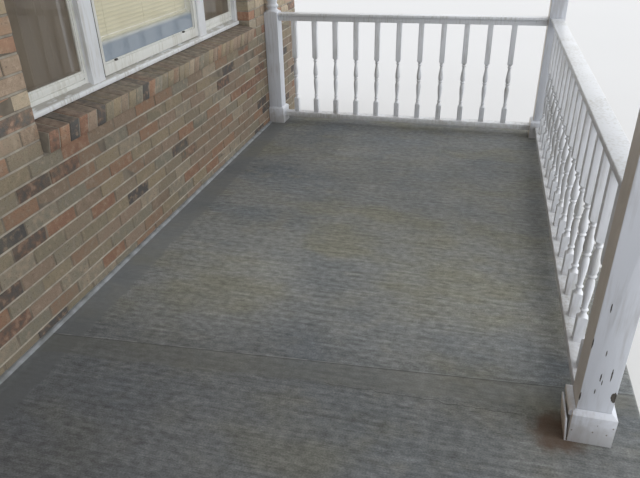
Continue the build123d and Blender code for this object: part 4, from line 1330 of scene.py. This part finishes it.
# %% Door
door_paint = painted("door_paint", screen(122, 40, 36), screen(104, 36, 33), gloss=0.3)
settle(ease(worked_copy("door_leaf", "door_leaf_panelled"), 0.003), door_paint, "door_paint", "door_leaf")
knob = worked_copy("door_knob", "door_knob_turned")
soften(knob, 45)
settle(knob, brass, "brass", "door_knob")
mill_metal = two_shades("mill_metal", 0.42, (0.004, (20, 1, 1), 3), (142, 142, 140), (186, 186, 184),
                        relief=(0.0005, 0.3), Metallic=1.0)
settle(ease(worked_copy("door_threshold", "door_threshold_plate"), 0.0015), mill_metal, "threshold_metal",
       "door_threshold")

# %% [markdown]
# The ceiling is of narrow boards with eased joints, running the length of the porch. Lap
# boards close the triangles at the ends, each leaning out over the one below and cut along
# the slope of the roof.

# %% Ceiling boards and gable laps
ceiling_low, ceiling_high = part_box("ceiling")
NARROW_BOARD = 0.083
board_count = round((ceiling_high.y - ceiling_low.y) / NARROW_BOARD)
board_width = (ceiling_high.y - ceiling_low.y) / board_count
board_length = ceiling_high.x - ceiling_low.x
board_thick = ceiling_high.z - ceiling_low.z
pattern = add_block("board_pattern", (-board_length / 2, -board_width / 2, -board_thick / 2),
                    (board_length / 2, board_width / 2, board_thick / 2))
ease(pattern, 0.0035)
board_places = [((0, ceiling_low.y + board_width * (index + 0.5), (ceiling_low.z + ceiling_high.z) / 2),
                 (0, 0, 0), 0.5) for index in range(board_count)]
ceiling_boards = lay_copies("ceiling_boards", pattern, board_places)
settle(ceiling_boards, ceiling_paint, "ceiling_paint", "ceiling")

ROOF_SLOPE = atan(3 / 12)
LAP = 0.10
LAP_OVER = 0.012
LAP_LEAN = 0.010
LAP_FACE, LAP_BACK = 0.004, 0.018
BACKING = (0.024, 0.036)
gable_low, gable_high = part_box("gable_panels")
laps = []
for outward, face_x in ((-1, gable_low.x), (1, gable_high.x)):
    foot = gable_low.z
    while foot < gable_high.z:
        left, right = sorted((face_x - outward * LAP_FACE, face_x - outward * LAP_BACK))
        lap = add_block("lap", (left, gable_low.y, foot), (right, gable_high.y, foot + LAP + LAP_OVER))
        slide(lap, lambda place: place.z > foot + LAP, (-outward * LAP_LEAN, 0, 0))
        laps.append(ease(lap, 0.0012, 1))
        foot += LAP
    left, right = sorted(face_x - outward * depth for depth in BACKING)
    laps.append(ease(add_block("backing", (left, gable_low.y, gable_low.z),
                               (right, gable_high.y, gable_high.z)), 0.001, 1))
gable_laps = join("gable_laps", laps)
split(gable_laps, (0, gable_high.y, gable_high.z), (0, -sin(ROOF_SLOPE), cos(ROOF_SLOPE)),
      use_fill=True, clear_outer=True)
settle(gable_laps, white_paint, "white_paint", "gable_panels")

# %% [markdown]
# The roof is low, three in twelve, under three-tab shingles. Each tab is a thin slab that
# lies on the one below, so its lower edge stands up by its own thickness. Tabs are laid from
# the eaves to the wall, half a tab apart from course to course, each with a tone of its own.

# %% Shingles
TAB = 0.305
EXPOSURE = 0.127
TAB_DEPTH = 0.150
TAB_THICK = 0.0045
TAB_GAP = 0.006
TAB_LIFT = 0.0058
TAB_TILT = 0.022
shingle_low, shingle_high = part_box("roof_shingles")
roof_run = (shingle_high.y - shingle_low.y) / cos(ROOF_SLOPE)
pattern = add_block("tab_pattern", ((TAB_GAP - TAB) / 2, -TAB_DEPTH / 2, -TAB_THICK / 2),
                    ((TAB - TAB_GAP) / 2, TAB_DEPTH / 2, TAB_THICK / 2))
ease(pattern, 0.001, 1)
tab_chance = random.Random(19)
tab_places = []
course_number = 0
while course_number * EXPOSURE < roof_run - 0.02:
    along = course_number * EXPOSURE
    depth = min(TAB_DEPTH, roof_run - along)
    up = along + depth / 2
    y = shingle_low.y + up * cos(ROOF_SLOPE)
    z = shingle_low.z + up * sin(ROOF_SLOPE) + TAB_LIFT
    edge = shingle_low.x - (course_number % 2) * TAB / 2
    while edge < shingle_high.x - 0.01:
        left, right = max(edge, shingle_low.x), min(edge + TAB, shingle_high.x)
        if right - left > 0.02:
            tab_places.append((((left + right) / 2, y, z), (right - left - TAB, depth - TAB_DEPTH, 0),
                               tab_chance.random()))
        edge += TAB
    course_number += 1
shingles = lay_copies("shingle_tabs", pattern, tab_places, tilt=ROOF_SLOPE - TAB_TILT)
underlay = ease(worked_copy("roof_shingles", "underlay"), 0.001, 1)
slide(underlay, lambda place: True, (0, 0.004, -0.0048))
underlay.data.attributes.new("tone", "FLOAT", "POINT")
shingles = join("shingle_tabs", [shingles, underlay])
mineral = Finish("mineral_shingle", 0.95)
granule = mineral.noise(0.0022, detail=2)
colour = mineral.ramp(mineral.attribute("tone"), [(0.0, screen(84, 82, 80)), (0.5, screen(98, 96, 92)),
                                                  (1.0, screen(114, 110, 104))])
colour = mineral.mix(mineral.between(granule, 0.42, 0.62), colour, screen(70, 68, 66))
colour = mineral.mix(mineral.between(granule, 0.62, 0.72), colour, screen(150, 146, 138))
mineral.give("Base Color", colour)
mineral.bump(granule, 0.001, 0.8)
settle(shingles, mineral, "shingle", "roof_shingles")

# %% [markdown]
# What is left shows as it is: the flashing, the lintels and the room side of the wall. Each
# gets a finish with the small unevenness that its material has.

# %% Metal and wallboard
flashing = two_shades("dull_sheet_metal", 0.5, (0.08, (1, 1, 1), 4), (140, 143, 146), (180, 182, 184),
                      relief=(0.002, 0.2), Metallic=1.0)
coat(flashing, "wall_flashing")
steel = two_shades("primed_steel", 0.6, (0.03, (1, 1, 1), 4), (96, 66, 56), (128, 92, 78),
                   levels=(0.35, 0.65), relief=(0.001, 0.4))
coat(steel, "brick_lintels")

wallboard = Finish("painted_wallboard", 0.8)
wallboard_cloud = wallboard.noise(0.5, detail=3)
wallboard.give("Base Color", wallboard.shade(wallboard_cloud, (212, 207, 196), (224, 220, 210)))
wallboard.bump(wallboard.noise(0.006, detail=2), 0.0008, 0.4)
coat(wallboard, "inner_wall")

# %% [markdown]
# The porch stands on a pale studio floor, which only shows its shadow.

# %% Studio floor
bpy.ops.object.select_all(action="DESELECT")
bpy.ops.mesh.primitive_plane_add(size=80, location=(0, 0, 0))
studio_floor = bpy.context.object
studio_floor.name = "studio_floor"
floor_finish = Finish("studio_floor", 0.9)
pale_shades = [(0.0, (0.80,) * 3), (1.0, (0.84,) * 3)]
floor_finish.give("Base Color", floor_finish.ramp(floor_finish.noise(4.0), pale_shades))
studio_floor.data.materials.append(floor_finish.material)
